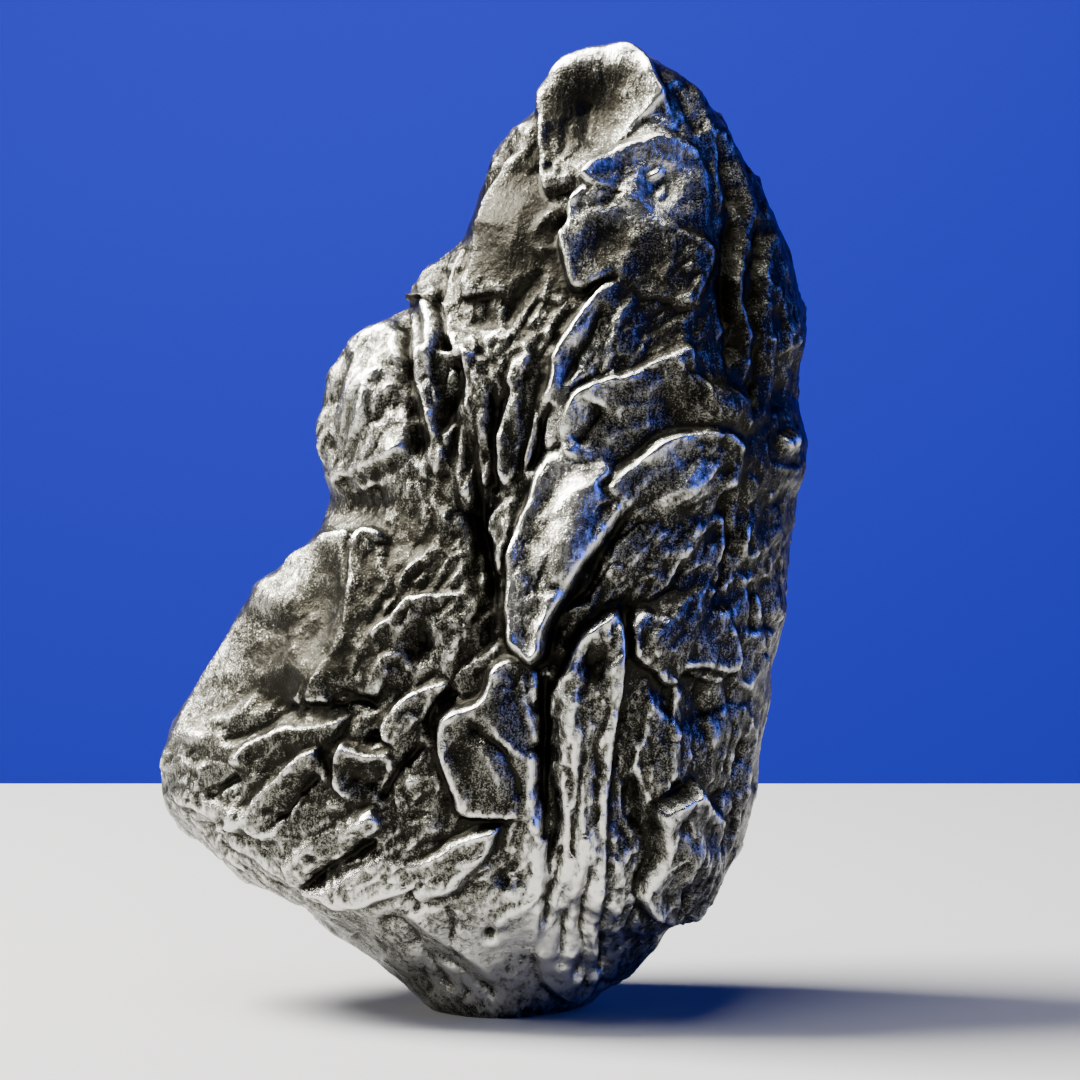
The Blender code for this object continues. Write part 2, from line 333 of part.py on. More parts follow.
# The broad wing at the lower left, crossed by slanting ridges.
WING = [
    (RIDGE, 0.41, 0.7, [(322, 528), (305, 551), (285, 572), (264, 596), (243, 622), (223, 652),
        (207, 677), (190, 704), (173, 734), (165, 762), (168, 785)]),
    (LEDGE, 0.27, 1.0, [(360, 531), (341, 529), (328, 528)]),
    (LEDGE, 0.32, 1.0, [(378, 525), (366, 530), (358, 545), (353, 565), (349, 585), (345, 601),
        (341, 616), (337, 636), (333, 649), (324, 661), (315, 679), (305, 696)]),
    (RIDGE, 0.26, 0.28, [(378, 525), (366, 530), (358, 545), (353, 565), (349, 585), (345, 601),
        (341, 616), (337, 636), (333, 649), (324, 661), (315, 679), (305, 696)]),
    (RIDGE, 0.3, 0.3, [(364, 531), (375, 526), (386, 531), (388, 541)]),
    (RIDGE, 0.26, 0.25, [(381, 545), (384, 560), (388, 578), (393, 590)]),
    (RIDGE, 0.26, 0.28, [(371, 596), (358, 606), (347, 614), (340, 622)]),
    (RIDGE, 0.22, 0.22, [(391, 600), (382, 612), (374, 623)]),
    (RIDGE, 0.22, 0.25, [(335, 660), (327, 676), (320, 690)]),
    (RIDGE, 0.22, 0.25, [(368, 640), (362, 660), (362, 682)]),
    (RIDGE, 0.19, 0.22, [(343, 650), (338, 668), (336, 684)]),
    (RIDGE, 0.3, 0.28, [(381, 692), (388, 676), (393, 659), (402, 653), (408, 660), (413, 670)]),
    (RIDGE, 0.34, 0.3, [(430, 555), (417, 562), (405, 572), (397, 583), (389, 590)]),
    (LEDGE, 0.41, 1.1, [(448, 590), (436, 590), (424, 592), (411, 595), (402, 602), (391, 612),
        (378, 623), (370, 634)]),
    (RIDGE, 0.38, 0.32, [(444, 590), (425, 592), (411, 595), (402, 602), (391, 612), (378, 623)]),
    (RIDGE, 0.22, 0.22, [(447, 617), (437, 626), (433, 640), (432, 656)]),
    (LEDGE, 0.32, 0.9, [(447, 678), (452, 668), (456, 655), (460, 642), (468, 629), (474, 612),
        (478, 595)]),
    (RIDGE, 0.3, 0.28, [(474, 611), (468, 629), (459, 643), (455, 658), (451, 670), (447, 678)]),
    (RIDGE, 0.26, 0.28, [(448, 612), (453, 622), (462, 620)]),
    (LEDGE, 0.36, 0.9, [(450, 677), (436, 680), (415, 688), (400, 697), (390, 709), (383, 720)]),
    (RIDGE, 0.34, 0.3, [(450, 677), (436, 680), (415, 688), (400, 697), (390, 709), (383, 720)]),
    (RIDGE, 0.41, 0.4, [(418, 720), (404, 735), (390, 746), (375, 752), (362, 749), (352, 741),
        (343, 741), (337, 752), (333, 766)]),
    (LEDGE, 0.36, 1.0, [(415, 722), (404, 735), (390, 746), (375, 752), (362, 749), (352, 741),
        (343, 741), (337, 752), (332, 766), (332, 780), (340, 790), (352, 800)]),
    (RIDGE, 0.22, 0.25, [(412, 708), (400, 720), (386, 724)]),
    (RIDGE, 0.3, 0.3, [(300, 640), (290, 652), (282, 666), (270, 681), (258, 692)]),
    (RIDGE, 0.26, 0.28, [(268, 663), (257, 681), (250, 696), (242, 710), (225, 717), (205, 716)]),
    (RIDGE, 0.3, 0.28, [(316, 610), (306, 620), (298, 630), (284, 632)]),
    (RIDGE, 0.22, 0.25, [(311, 655), (305, 666), (290, 667)]),
    (RIDGE, 0.22, 0.25, [(262, 632), (250, 642), (236, 650)]),
    (RIDGE, 0.34, 0.3, [(233, 740), (220, 745), (212, 755), (205, 765), (199, 776)]),
    (RIDGE, 0.26, 0.28, [(240, 757), (228, 765), (214, 771)]),
    (RIDGE, 0.38, 0.32, [(347, 714), (335, 720), (318, 724), (303, 729), (286, 722), (270, 730),
        (255, 738), (243, 746), (234, 757)]),
    (LEDGE, 0.27, 0.9, [(303, 729), (286, 722), (270, 730), (255, 738), (243, 746), (234, 757),
        (222, 768)]),
    (RIDGE, 0.22, 0.25, [(303, 730), (297, 739), (284, 742), (268, 748)]),
    (RIDGE, 0.26, 0.28, [(330, 722), (315, 735), (300, 742)]),
    (RIDGE, 0.41, 0.35, [(318, 745), (303, 750), (291, 761), (280, 772), (266, 785), (255, 797),
        (245, 808)]),
    (LEDGE, 0.32, 1.0, [(318, 745), (303, 750), (291, 761), (280, 772), (266, 785), (255, 797),
        (245, 808)]),
    (RIDGE, 0.22, 0.25, [(265, 770), (248, 778), (232, 786), (218, 795)]),
    (RIDGE, 0.3, 0.3, [(186, 790), (195, 796), (205, 804)]),
    (RIDGE, 0.3, 0.35, [(262, 806), (255, 817), (248, 829), (240, 838)]),
    (RIDGE, 0.3, 0.4, [(228, 803), (224, 815), (230, 828)]),
    (RIDGE, 0.22, 0.3, [(300, 790), (292, 806), (288, 822)]),
    (RIDGE, 0.22, 0.25, [(325, 797), (335, 806), (345, 808)]),
    (RIDGE, 0.22, 0.25, [(282, 835), (270, 850), (262, 860)]),
    (RIDGE, 0.41, 0.35, [(370, 806), (358, 812), (345, 822), (330, 828), (315, 834), (300, 845),
        (289, 854), (283, 864)]),
    (RIDGE, 0.3, 0.3, [(345, 842), (330, 850), (316, 858), (305, 868), (298, 878)]),
    (LEDGE, 0.36, 0.9, [(365, 812), (350, 824), (330, 832), (312, 840), (298, 850), (286, 862)]),
    (GROOVE, 1.17, 0.4, [(378, 838), (360, 850), (342, 860), (325, 870), (308, 880)]),
    (RIDGE, 0.22, 0.25, [(390, 815), (378, 826), (365, 838)]),
    (RIDGE, 0.22, 0.25, [(405, 796), (392, 800)]),
    (RIDGE, 0.34, 0.3, [(440, 830), (430, 829), (419, 836), (409, 846), (400, 855)]),
    (RIDGE, 0.41, 0.35, [(500, 823), (485, 828), (466, 833), (450, 840), (440, 850), (425, 858),
        (410, 862)]),
    (LEDGE, 0.36, 1.0, [(500, 823), (485, 828), (466, 833), (450, 840), (440, 850), (425, 858),
        (410, 862), (395, 858), (375, 860), (360, 864)]),
    (RIDGE, 0.3, 0.3, [(410, 853), (395, 857), (378, 859), (362, 864)]),
    (RIDGE, 0.38, 0.35, [(486, 850), (475, 858), (462, 863), (450, 871), (441, 881), (435, 892)]),
    (RIDGE, 0.3, 0.3, [(530, 868), (518, 872), (505, 880)]),
    (RIDGE, 0.26, 0.25, [(440, 778), (425, 778), (405, 782)]),
    (RIDGE, 0.22, 0.25, [(408, 766), (395, 769), (384, 766)]),
    (GROOVE, 0.91, 0.4, [(330, 700), (345, 692), (362, 694), (378, 706)]),
    (GROOVE, 0.91, 0.5, [(425, 735), (410, 755), (395, 772), (385, 790), (375, 800)]),
    (GROOVE, 0.91, 0.45, [(300, 700), (280, 710), (260, 722), (240, 730), (222, 738)]),
    (GROOVE, 0.91, 0.45, [(320, 770), (305, 785), (292, 800), (280, 820)]),
    (GROOVE, 0.78, 0.4, [(240, 775), (222, 785), (205, 796)]),
    (GROOVE, 1.04, 0.45, [(462, 690), (445, 695), (428, 712), (430, 740)]),
]

# The rolled edge under the wing and the pitted slope below it.
UNDERSIDE = [
    (LEDGE, 0.45, 1.4, [(166, 786), (180, 800), (197, 808), (212, 818), (222, 832), (238, 846),
        (258, 860), (280, 874), (300, 888), (320, 896), (342, 902), (362, 904), (380, 899),
        (396, 893), (408, 890)]),
    (RIDGE, 0.52, 0.45, [(303, 885), (318, 893), (338, 898), (360, 901), (378, 897), (395, 890),
        (408, 885)]),
    (LEDGE, 0.27, 1.0, [(408, 890), (420, 900), (438, 895), (452, 893), (466, 884)]),
    (RIDGE, 0.26, 0.4, [(405, 905), (425, 928), (448, 945), (475, 962), (500, 985)]),
    (GROOVE, 0.65, 0.35, [(375, 925), (395, 922), (410, 932), (425, 955), (440, 978), (455, 995)]),
    (GROOVE, 0.59, 0.3, [(400, 945), (420, 945), (440, 962), (462, 972), (482, 985), (498, 1003)]),
    (GROOVE, 0.52, 0.3, [(446, 903), (452, 925), (450, 945), (462, 965)]),
    (GROOVE, 0.45, 0.3, [(350, 935), (362, 947), (378, 965)]),
    (GROOVE, 0.45, 0.25, [(425, 960), (422, 978), (432, 995)]),
    (GROOVE, 0.45, 0.25, [(462, 970), (460, 985), (470, 998)]),
    (GROOVE, 0.39, 0.25, [(200, 825), (215, 835), (228, 855)]),
    (GROOVE, 0.39, 0.25, [(245, 868), (268, 880), (285, 893)]),
    (GROOVE, 1.04, 0.4, [(404, 893), (412, 900), (416, 912)]),
    (LEDGE, 0.27, 0.9, [(540, 893), (520, 905), (500, 913), (496, 930)]),
    (RIDGE, 0.22, 0.4, [(540, 900), (538, 930), (536, 960)]),
]

FACE_STROKES = (
    CROWN + UPPER_LEFT + LEFT_LOBE + MIDDLE_FOLDS + CENTRE + RIGHT_FLANK
    + COLUMN_AND_PLATE + LOWER_RIGHT + WING + UNDERSIDE
)

# Round forms: form, height mm, half width mm, half height mm, place on the map, lean in degrees.
LUMP = "lump"
DISH = "dish"
FACE_SPOTS = [
    (DISH, 0.9, 3.6, 3.8, (598, 112), -8),
    (DISH, 0.5, 2.2, 1.6, (625, 170), 20),
    (DISH, 0.6, 1.6, 1.6, (658, 182), 0),
    (LUMP, 0.4, 0.8, 0.45, (655, 174), 20),
    (LUMP, 0.3, 0.4, 0.7, (661, 190), -30),
    (DISH, 0.3, 3.0, 2.2, (650, 268), -25),
    (DISH, 0.4, 2.2, 2.0, (605, 240), -10),
    (DISH, 0.5, 2.4, 1.4, (488, 318), 10),
    (DISH, 0.2, 2.6, 1.8, (655, 322), 20),
    (DISH, 0.4, 1.3, 1.6, (665, 400), 0),
    (LUMP, 1.1, 2.3, 2.6, (714, 405), 0),
    (LUMP, 0.9, 3.0, 1.9, (688, 484), 20),
    (LUMP, 1.0, 2.5, 5.2, (360, 392), -12),
    (LUMP, 0.8, 1.0, 3.4, (430, 312), 0),
    (DISH, 0.7, 2.8, 1.4, (362, 502), 10),
    (LUMP, 0.7, 0.9, 0.9, (787, 438), 0),
    (LUMP, 0.3, 0.4, 0.4, (530, 320), 0),
    (LUMP, 0.3, 0.4, 0.4, (548, 330), 0),
    (LUMP, 0.6, 2.2, 2.2, (280, 596), 0),
    (DISH, 0.6, 1.6, 4.5, (325, 610), -12),
    (DISH, 0.6, 2.6, 1.5, (278, 690), 10),
    (LUMP, 0.4, 1.3, 0.9, (197, 735), 0),
    (DISH, 0.8, 0.8, 0.7, (373, 735), 0),
    (DISH, 0.7, 1.8, 1.6, (365, 775), 0),
    (LUMP, 0.5, 1.0, 1.1, (236, 815), 0),
    (DISH, 0.9, 1.2, 3.5, (632, 800), -5),
    (LUMP, 0.9, 2.2, 3.4, (686, 862), 0),
    (LUMP, 0.8, 3.4, 3.0, (660, 630), 0),
    (DISH, 0.6, 1.6, 2.6, (700, 700), 0),
    (DISH, 0.7, 1.6, 1.6, (512, 872), 0),
    (DISH, 0.6, 0.6, 0.6, (490, 935), 0),
    (DISH, 0.8, 1.5, 1.6, (420, 640), 0),
    (DISH, 0.7, 1.1, 1.8, (590, 655), 0),
    (DISH, 1.1, 1.7, 8.0, (484, 540), 6),
    (LUMP, 0.9, 2.2, 7.0, (566, 545), -18),
    (DISH, 0.8, 1.4, 4.0, (455, 420), 14),
    (LUMP, 0.7, 2.6, 4.6, (500, 750), 0),
    (LUMP, 0.8, 3.0, 4.0, (520, 230), -30),
    (LUMP, 0.6, 1.9, 9.0, (575, 780), 3),
]

# Slabs that stand out of the face: rise in mm, slope to the right and upward in mm per mm, bevel in
# mm, corners on the map. A later slab lies over an earlier one.
SLABS = [
    # crown and nose
    (0.35, -0.35, 0.06, 0.3, [(535, 125), (541, 150), (543, 188), (552, 200), (540, 225), (538, 248),
        (548, 262), (533, 273), (507, 290), (482, 293), (467, 297), (468, 280), (479, 251),
        (492, 226), (503, 186), (515, 158)]),
    (0.15, 0.0, 0.0, 0.3, [(468, 245), (466, 270), (464, 297), (480, 296), (500, 298), (502, 318),
        (480, 326), (461, 350), (452, 336), (447, 320), (447, 300), (451, 279), (460, 258)]),
    (0.3, -0.02, 0.06, 0.3, [(546, 78), (565, 63), (600, 54), (635, 60), (655, 82), (662, 100),
        (640, 118), (620, 138), (600, 150), (585, 170), (578, 183), (560, 186), (546, 188),
        (542, 150), (542, 110)]),
    (0.3, -0.1, 0.05, 0.3, [(583, 178), (590, 165), (606, 152), (625, 142), (656, 133), (680, 138),
        (700, 158), (708, 185), (706, 215), (690, 232), (668, 224), (648, 208), (630, 196),
        (610, 190), (595, 190)]),
    (0.5, -0.08, -0.05, 0.35, [(569, 222), (574, 202), (586, 188), (600, 188), (622, 193), (650, 212),
        (665, 222), (698, 236), (714, 248), (710, 268), (702, 288), (690, 302), (660, 295),
        (637, 292), (616, 270), (600, 280), (584, 287), (571, 284), (566, 262), (562, 238)]),
    # fingers of the middle
    (0.35, -0.2, 0.0, 0.25, [(464, 344), (487, 360), (484, 385), (478, 400), (474, 436), (478, 470),
        (470, 500), (462, 500), (458, 460), (458, 414), (464, 392)]),
    (0.4, -0.2, 0.0, 0.25, [(511, 358), (507, 376), (510, 392), (498, 432), (499, 465), (505, 482),
        (518, 470), (524, 440), (530, 412), (535, 390), (540, 368), (530, 350)]),
    (0.4, -0.2, 0.0, 0.25, [(484, 524), (488, 510), (500, 498), (515, 492), (526, 488), (520, 510),
        (508, 530), (500, 566), (492, 560), (490, 535)]),
    (0.25, -0.15, 0.0, 0.25, [(480, 326), (505, 322), (520, 335), (512, 358), (507, 376), (496, 400),
        (494, 440), (492, 470), (480, 480), (478, 440), (480, 400), (488, 362)]),
    (0.35, -0.15, 0.0, 0.25, [(545, 396), (552, 405), (548, 430), (552, 445), (540, 462), (530, 478),
        (526, 462), (529, 440), (535, 418)]),
    (0.2, -0.1, 0.0, 0.25, [(424, 262), (440, 258), (443, 285), (440, 320), (444, 340), (430, 345),
        (420, 330), (417, 300)]),
    (0.3, -0.1, 0.0, 0.25, [(460, 350), (455, 375), (460, 395), (456, 420), (444, 452), (436, 470),
        (428, 450), (430, 420), (420, 385), (418, 350), (435, 345)]),
    # centre
    (0.1, 0.0, 0.0, 0.3, [(633, 298), (660, 298), (684, 318), (688, 342), (668, 352), (640, 362),
        (612, 370), (604, 358), (616, 335), (624, 310)]),
    (0.3, -0.06, 0.1, 0.3, [(608, 373), (630, 369), (650, 358), (670, 350), (690, 343), (695, 365),
        (706, 379), (740, 395), (745, 412), (742, 432), (700, 425), (672, 430), (648, 440),
        (612, 468), (600, 455), (578, 458), (560, 438), (566, 405), (580, 385)]),
    (0.5, -0.1, 0.0, 0.35, [(620, 275), (636, 292), (626, 308), (616, 330), (606, 350), (592, 366),
        (578, 382), (568, 402), (562, 436), (548, 442), (545, 420), (543, 396), (550, 381),
        (554, 350), (570, 325), (582, 308), (600, 286)]),
    (0.4, -0.03, 0.08, 0.4, [(742, 434), (725, 429), (700, 426), (672, 430), (652, 440), (634, 456),
        (614, 474), (606, 490), (622, 502), (645, 514), (668, 519), (692, 518), (712, 508),
        (728, 488), (738, 464)]),
    (1.2, -0.08, -0.1, 0.4, [(556, 442), (565, 452), (582, 459), (604, 458), (612, 470), (600, 482),
        (622, 500), (612, 520), (598, 546), (585, 562), (572, 586), (551, 622), (546, 642),
        (539, 656), (530, 661), (518, 650), (508, 636), (507, 600), (509, 565), (514, 540),
        (529, 495), (540, 463)]),
    # right of the column
    (0.55, -0.05, -0.1, 0.3, [(720, 588), (700, 584), (680, 596), (668, 612), (640, 604), (628, 620),
        (632, 650), (650, 668), (668, 682), (690, 662), (728, 668), (735, 640), (728, 610)]),
    (0.25, 0.1, 0.05, 0.3, [(650, 700), (672, 716), (679, 730), (674, 755), (664, 780), (660, 797),
        (640, 790), (634, 765), (640, 738)]),
    (0.75, 0.0, 0.06, 0.35, [(690, 778), (678, 790), (655, 806), (657, 830), (659, 852), (648, 878),
        (641, 896), (650, 912), (676, 917), (700, 908), (714, 885), (718, 850), (722, 815),
        (706, 800)]),
    # column, and the raised slab left of it
    (0.4, 0.1, 0.03, 0.3, [(619, 604), (606, 608), (592, 618), (580, 633), (568, 655), (556, 680),
        (549, 700), (549, 760), (549, 830), (545, 880), (541, 930), (540, 975), (570, 1000),
        (592, 985), (600, 940), (604, 895), (608, 860), (606, 830), (609, 790), (613, 740),
        (619, 690), (622, 650)]),
    (0.6, -0.08, 0.05, 0.3, [(520, 655), (504, 656), (493, 664), (484, 687), (474, 700), (452, 709),
        (440, 722), (438, 744), (444, 766), (452, 790), (461, 813), (482, 817), (518, 816),
        (536, 836), (542, 830), (543, 760), (541, 700), (536, 668)]),
    # lobe on the left, and the wing
    (0.1, 0.12, 0.0, 0.6, [(398, 318), (375, 326), (352, 346), (335, 368), (324, 400), (320, 432),
        (330, 468), (335, 485), (356, 472), (380, 462), (404, 445), (406, 400), (402, 360)]),
    (0.15, 0.1, 0.0, 0.4, [(332, 534), (346, 531), (360, 532), (352, 562), (347, 596), (338, 636),
        (326, 660), (306, 696), (290, 700), (262, 690), (240, 700), (205, 716), (180, 725),
        (190, 700), (222, 652), (262, 598), (300, 556)]),
    (0.45, -0.15, 0.0, 0.25, [(378, 525), (366, 531), (357, 548), (350, 585), (338, 632), (322, 665),
        (308, 697), (330, 700), (362, 692), (380, 690), (392, 655), (372, 634), (392, 611),
        (398, 585), (388, 560), (387, 532)]),
    (0.35, -0.1, 0.1, 0.25, [(440, 590), (412, 594), (398, 606), (374, 632), (384, 660), (402, 652),
        (412, 668), (448, 676), (458, 645), (474, 612), (478, 596), (460, 588)]),
    (0.3, 0.0, 0.15, 0.25, [(343, 741), (337, 752), (332, 768), (335, 786), (350, 800), (370, 797),
        (388, 778), (392, 757), (375, 752), (358, 748)]),
    (0.4, 0.0, -0.1, 0.25, [(450, 677), (425, 684), (400, 697), (386, 714), (380, 735), (396, 742),
        (408, 730), (420, 716), (436, 700)]),
    (0.25, -0.05, 0.12, 0.25, [(347, 714), (318, 724), (290, 722), (262, 733), (240, 747), (232, 760),
        (262, 770), (300, 750), (330, 735)]),
    (0.3, -0.05, 0.12, 0.25, [(318, 745), (300, 751), (280, 772), (262, 788), (245, 808), (250, 830),
        (280, 836), (300, 800), (325, 775)]),
    (0.35, -0.05, 0.12, 0.25, [(370, 806), (345, 822), (312, 836), (285, 860), (300, 880), (325, 868),
        (350, 848), (380, 825)]),
    (0.4, 0.0, 0.04, 0.3, [(500, 823), (466, 833), (442, 848), (410, 862), (370, 860), (330, 880),
        (305, 886), (340, 898), (362, 901), (400, 890), (440, 892), (470, 870), (490, 850)]),
]

# How much of the body's curve a slab levels, the most that this moves it, and what is added to
# its bevel, the last two in mm.
SLAB_FLATNESS = 0.85
SLAB_LEVELLING = 0.6
SLAB_SOFTENING = 0.2

# How squarely the body faces the sight where the slabs begin, and where they have their full height.
SLAB_FACING = (0.1, 0.5)

# Which way the folds run: place on the map, lean in degrees up from level.
FOLD_LEANS = [
    (600, 100, 90), (640, 200, 20), (520, 180, 60), (480, 250, 65), (360, 400, 55), (430, 420, 100),
        (490, 430, 95), (540, 420, 85),
    (600, 330, 55), (650, 300, 40), (700, 400, 120), (690, 480, 35), (760, 300, 92), (770, 500, 100),
        (650, 560, 50), (540, 590, 75),
    (350, 590, 75), (260, 620, 50), (220, 700, 40), (300, 760, 38), (350, 830, 36), (420, 760, 45),
        (450, 860, 32), (480, 780, 70),
    (575, 780, 90), (640, 760, 88), (700, 850, 88), (750, 720, 95), (430, 950, 130), (560, 950, 85),
        (300, 880, 145), (420, 600, 50),
]
FOLD_DIRECTIONS = 6

# Smoother areas: place on the map, half width and half height in map units.
CALM_AREAS = [
    (608, 95, 95, 80), (690, 190, 60, 60), (560, 470, 40, 110), (440, 960, 130, 70), (640, 430, 60, 60),
    (265, 620, 85, 85), (495, 745, 40, 60), (520, 230, 55, 60), (330, 600, 40, 90),
        (620, 260, 60, 50), (210, 690, 60, 60),
]
CALM_SHARE = 0.25

# The crown keeps its relief nearer to its edge: its middle on the map, and its reach in mm.
CROWN_PLACE = (605, 85)
CROWN_REACH = (6.0, 4.5)

# Heights of the natural relief, in mm.
FACE_PLATES = 0.24
EDGE_PLATES = 0.05
FLANK_BIG_SCOOPS = 1.9
FLANK_SMALL_SCOOPS = 0.55
FLANK_FOLDS = 0.5
FLANK_PLATES = 0.3

# How much of the flank's relief is left along the edge between face and flank.
EDGE_SHARE = 0.35


def clear_scene():
    for obj in list(bpy.data.objects):
        bpy.data.objects.remove(obj)


def table_column(rows, column, downs):
    table = np.array(rows, float)
    return np.interp(downs, table[:, 0], table[:, column])


def softened(values, spread):
    """The values blurred along their length, keeping both ends in place."""
    reach = int(3 * spread)
    kernel = np.exp(-0.5 * (np.arange(-reach, reach + 1) / spread) ** 2)
    kernel /= kernel.sum()
    before = 2 * values[0] - values[reach:0:-1]
    after = 2 * values[-1] - values[-2:-reach - 2:-1]
    return np.convolve(np.concatenate([before, values, after]), kernel, "valid")


def section_levels():
    """Rows of the map where the sections lie, closer together over the rounded crown."""
    crown = [51.0, 52.0, 53.5, 56.0, 59.0]
    body = list(np.arange(62.0, 1018.0, SECTION_STEP / UNIT))
    return crown + body + [1019.0]


def section_ring(left, right, keel, front, back, level):
    """One level section as points in mm, starting at its right edge."""
    turn = np.linspace(0, 2 * math.pi, POINTS_ROUND, endpoint=False)
    across = np.cos(turn)
    squarer = CROWN_FULLNESS * (1 - fade(np.float64(level), *CROWN_ROWS))
    fullness = np.where(across < 0, LEFT_FULLNESS, RIGHT_FULLNESS) + squarer
    front_share = (1 - np.abs(across) ** fullness).clip(0) ** (1 / fullness)
    back_share = (1 - np.abs(across) ** BACK_FULLNESS).clip(0) ** (1 / BACK_FULLNESS)
    front_column = keel + np.where(across < 0, keel - left, right - keel) * across
    back_column = (left + right) / 2 + (right - left) / 2 * across
    is_front = np.sin(turn) < 0
    x = (np.where(is_front, front_column, back_column) - MAP_MIDDLE) * UNIT
    y = np.where(is_front, -front * front_share, back * back_share)
    z = np.full(POINTS_ROUND, (MAP_FOOT - level) * UNIT)
    return np.stack([x, y, z], axis=1)


def section_rings():
    rows = np.arange(OUTLINE[0][0], OUTLINE[-1][0] + 1.0)
    left, right = (softened(table_column(OUTLINE, k, rows), 2.0) for k in (1, 2))
    keel, front, back = (softened(table_column(DEPTHS, k, rows), 10.0) for k in (1, 2, 3))
    rings = []
    for level in section_levels():
        edge_left, edge_right = np.interp(level, rows, left), np.interp(level, rows, right)
        width = edge_right - edge_left
        forward = np.clip(np.interp(level, rows, keel), edge_left + 0.3 * width, edge_left + 0.85 * width)
        depths = (np.interp(level, rows, front), np.interp(level, rows, back))
        rings.append(section_ring(edge_left, edge_right, forward, *depths, level))
    return rings


def lofted_body(name):
    """A closed body through the level sections."""
    bm = bmesh.new()
    rings = [[bm.verts.new(point) for point in ring] for ring in section_rings()]
    for upper, lower in zip(rings, rings[1:]):
        for k in range(POINTS_ROUND):
            after = (k + 1) % POINTS_ROUND
            bm.faces.new((upper[k], upper[after], lower[after], lower[k]))
    bm.faces.new(rings[0])
    bm.faces.new(rings[-1])
    bmesh.ops.recalc_face_normals(bm, faces=bm.faces)
    mesh = bpy.data.meshes.new(name)
    bm.to_mesh(mesh)
    bm.free()
    body = bpy.data.objects.new(name, mesh)
    bpy.context.scene.collection.objects.link(body)
    return body


def apply_modifiers(body):
    graph = bpy.context.evaluated_depsgraph_get()
    graph.update()
    mesh = bpy.data.meshes.new_from_object(body.evaluated_get(graph), depsgraph=graph)
    body.modifiers.clear()
    body.data = mesh


def even_out(body):
    """Gives the body a mesh of even squares."""
    remesh = body.modifiers.new("Even mesh", "REMESH")
    remesh.mode = "VOXEL"
    remesh.voxel_size = EVEN_MESH
    apply_modifiers(body)


def soften(body, passes):
    """Takes out steps that are smaller than the mesh can hold."""
    smooth = body.modifiers.new("Smooth", "SMOOTH")
    smooth.factor = 0.5
    smooth.iterations = passes
    apply_modifiers(body)


def mesh_values(items, key):
    values = np.empty(len(items) * 3, np.float32)
    items.foreach_get(key, values)
    return values.reshape(-1, 3).astype(float)


def fade(value, low, high):
    """0 below low, 1 above high, smooth between."""
    share = ((value - low) / (high - low)).clip(0, 1)
    return share * share * (3 - 2 * share)


def on_plane(points):
    """Map points as millimetres across and up, on the upright plane through the middle."""
    places = np.asarray(points, float)
    return np.stack([places[:, 0] - MAP_MIDDLE, MAP_FOOT - places[:, 1]], axis=1) * UNIT


def curve_through(points, spans=4):
    """A smooth line through the points, in short straight steps."""
    stops = np.vstack([2 * points[0] - points[1], points, 2 * points[-1] - points[-2]])
    line = []
    for a, b, c, d in zip(stops, stops[1:], stops[2:], stops[3:]):
        for t in np.arange(spans) / spans:
            bend = (2 * a - 5 * b + 4 * c - d) * t + (3 * b - a - 3 * c + d) * t * t
            line.append(b + 0.5 * t * (c - a + bend))
    line.append(points[-1])
    return np.array(line)


def measure(places, line):
    """Distance from the line, side of it (left is +1) and share of the way along it."""
    nearest = np.full(len(places), np.inf)
    side = np.ones(len(places))
    along = np.zeros(len(places))
    steps = np.diff(line, axis=0)
    lengths = np.hypot(steps[:, 0], steps[:, 1])
    starts = np.concatenate([[0.0], np.cumsum(lengths)])
    for begin, step, length, start in zip(line, steps, lengths, starts):
        out = places - begin
        share = ((out @ step) / (length * length + 1e-12)).clip(0, 1)
        gap = out - share[:, None] * step
        distance = np.hypot(gap[:, 0], gap[:, 1])
        closer = distance < nearest
        turned = np.where(step[0] * out[:, 1] - step[1] * out[:, 0] >= 0, 1.0, -1.0)
        nearest = np.where(closer, distance, nearest)
        side = np.where(closer, turned, side)
        along = np.where(closer, (start + share * length) / starts[-1], along)
    return nearest, side, along


def stroke(places, form, high, wide, points):
    """The places near one drawn line, how strongly it pulls at each, and the height it asks for there."""
    line = curve_through(on_plane(points))
    reach = wide * LINE_REACH[form]
    margin = 6 * reach
    inside = (places > line.min(axis=0) - margin) & (places < line.max(axis=0) + margin)
    near = np.flatnonzero(inside.all(axis=1))
    distance, side, along = measure(places[near], line)
    ends = fade(along, 0, 0.16) * fade(1 - along, 0, 0.16)
    rounded = np.hypot(distance, CREST_ROUNDING) / reach
    pull = ends / rounded ** LINE_FADE * (1 - fade(distance, margin / 2, margin))
    if form == LEDGE:
        lip = 0.5 + 0.5 * np.tanh(distance * side / LIP_ROUNDING)
        return near, pull, high * (1.35 * lip - 0.35)
    return near, pull, np.full(len(near), high if form == RIDGE else -high)


def spot(places, form, high, wide, tall, place, lean):
    """Height that one round lump or dish gives to each place."""
    out = places - on_plane([place])[0]
    cosine, sine = math.cos(math.radians(lean)), math.sin(math.radians(lean))
    across = (out[:, 0] * cosine + out[:, 1] * sine) / wide
    upward = (out[:, 1] * cosine - out[:, 0] * sine) / tall
    inside = (1 - across ** 2 - upward ** 2).clip(0)
    if form == LUMP:
        return high * inside ** 2
    return -high * inside * (0.35 + 0.65 * inside)


def within(places, ring):
    """Which places lie inside the ring: those with an odd number of its sides to one hand."""
    odd = np.zeros(len(places), bool)
    for a, b in zip(ring, np.roll(ring, -1, axis=0)):
        spans = (a[1] > places[:, 1]) != (b[1] > places[:, 1])
        crossing = a[0] + (b[0] - a[0]) * (places[:, 1] - a[1]) / (b[1] - a[1] + 1e-12)
        odd ^= spans & (places[:, 0] < crossing)
    return odd


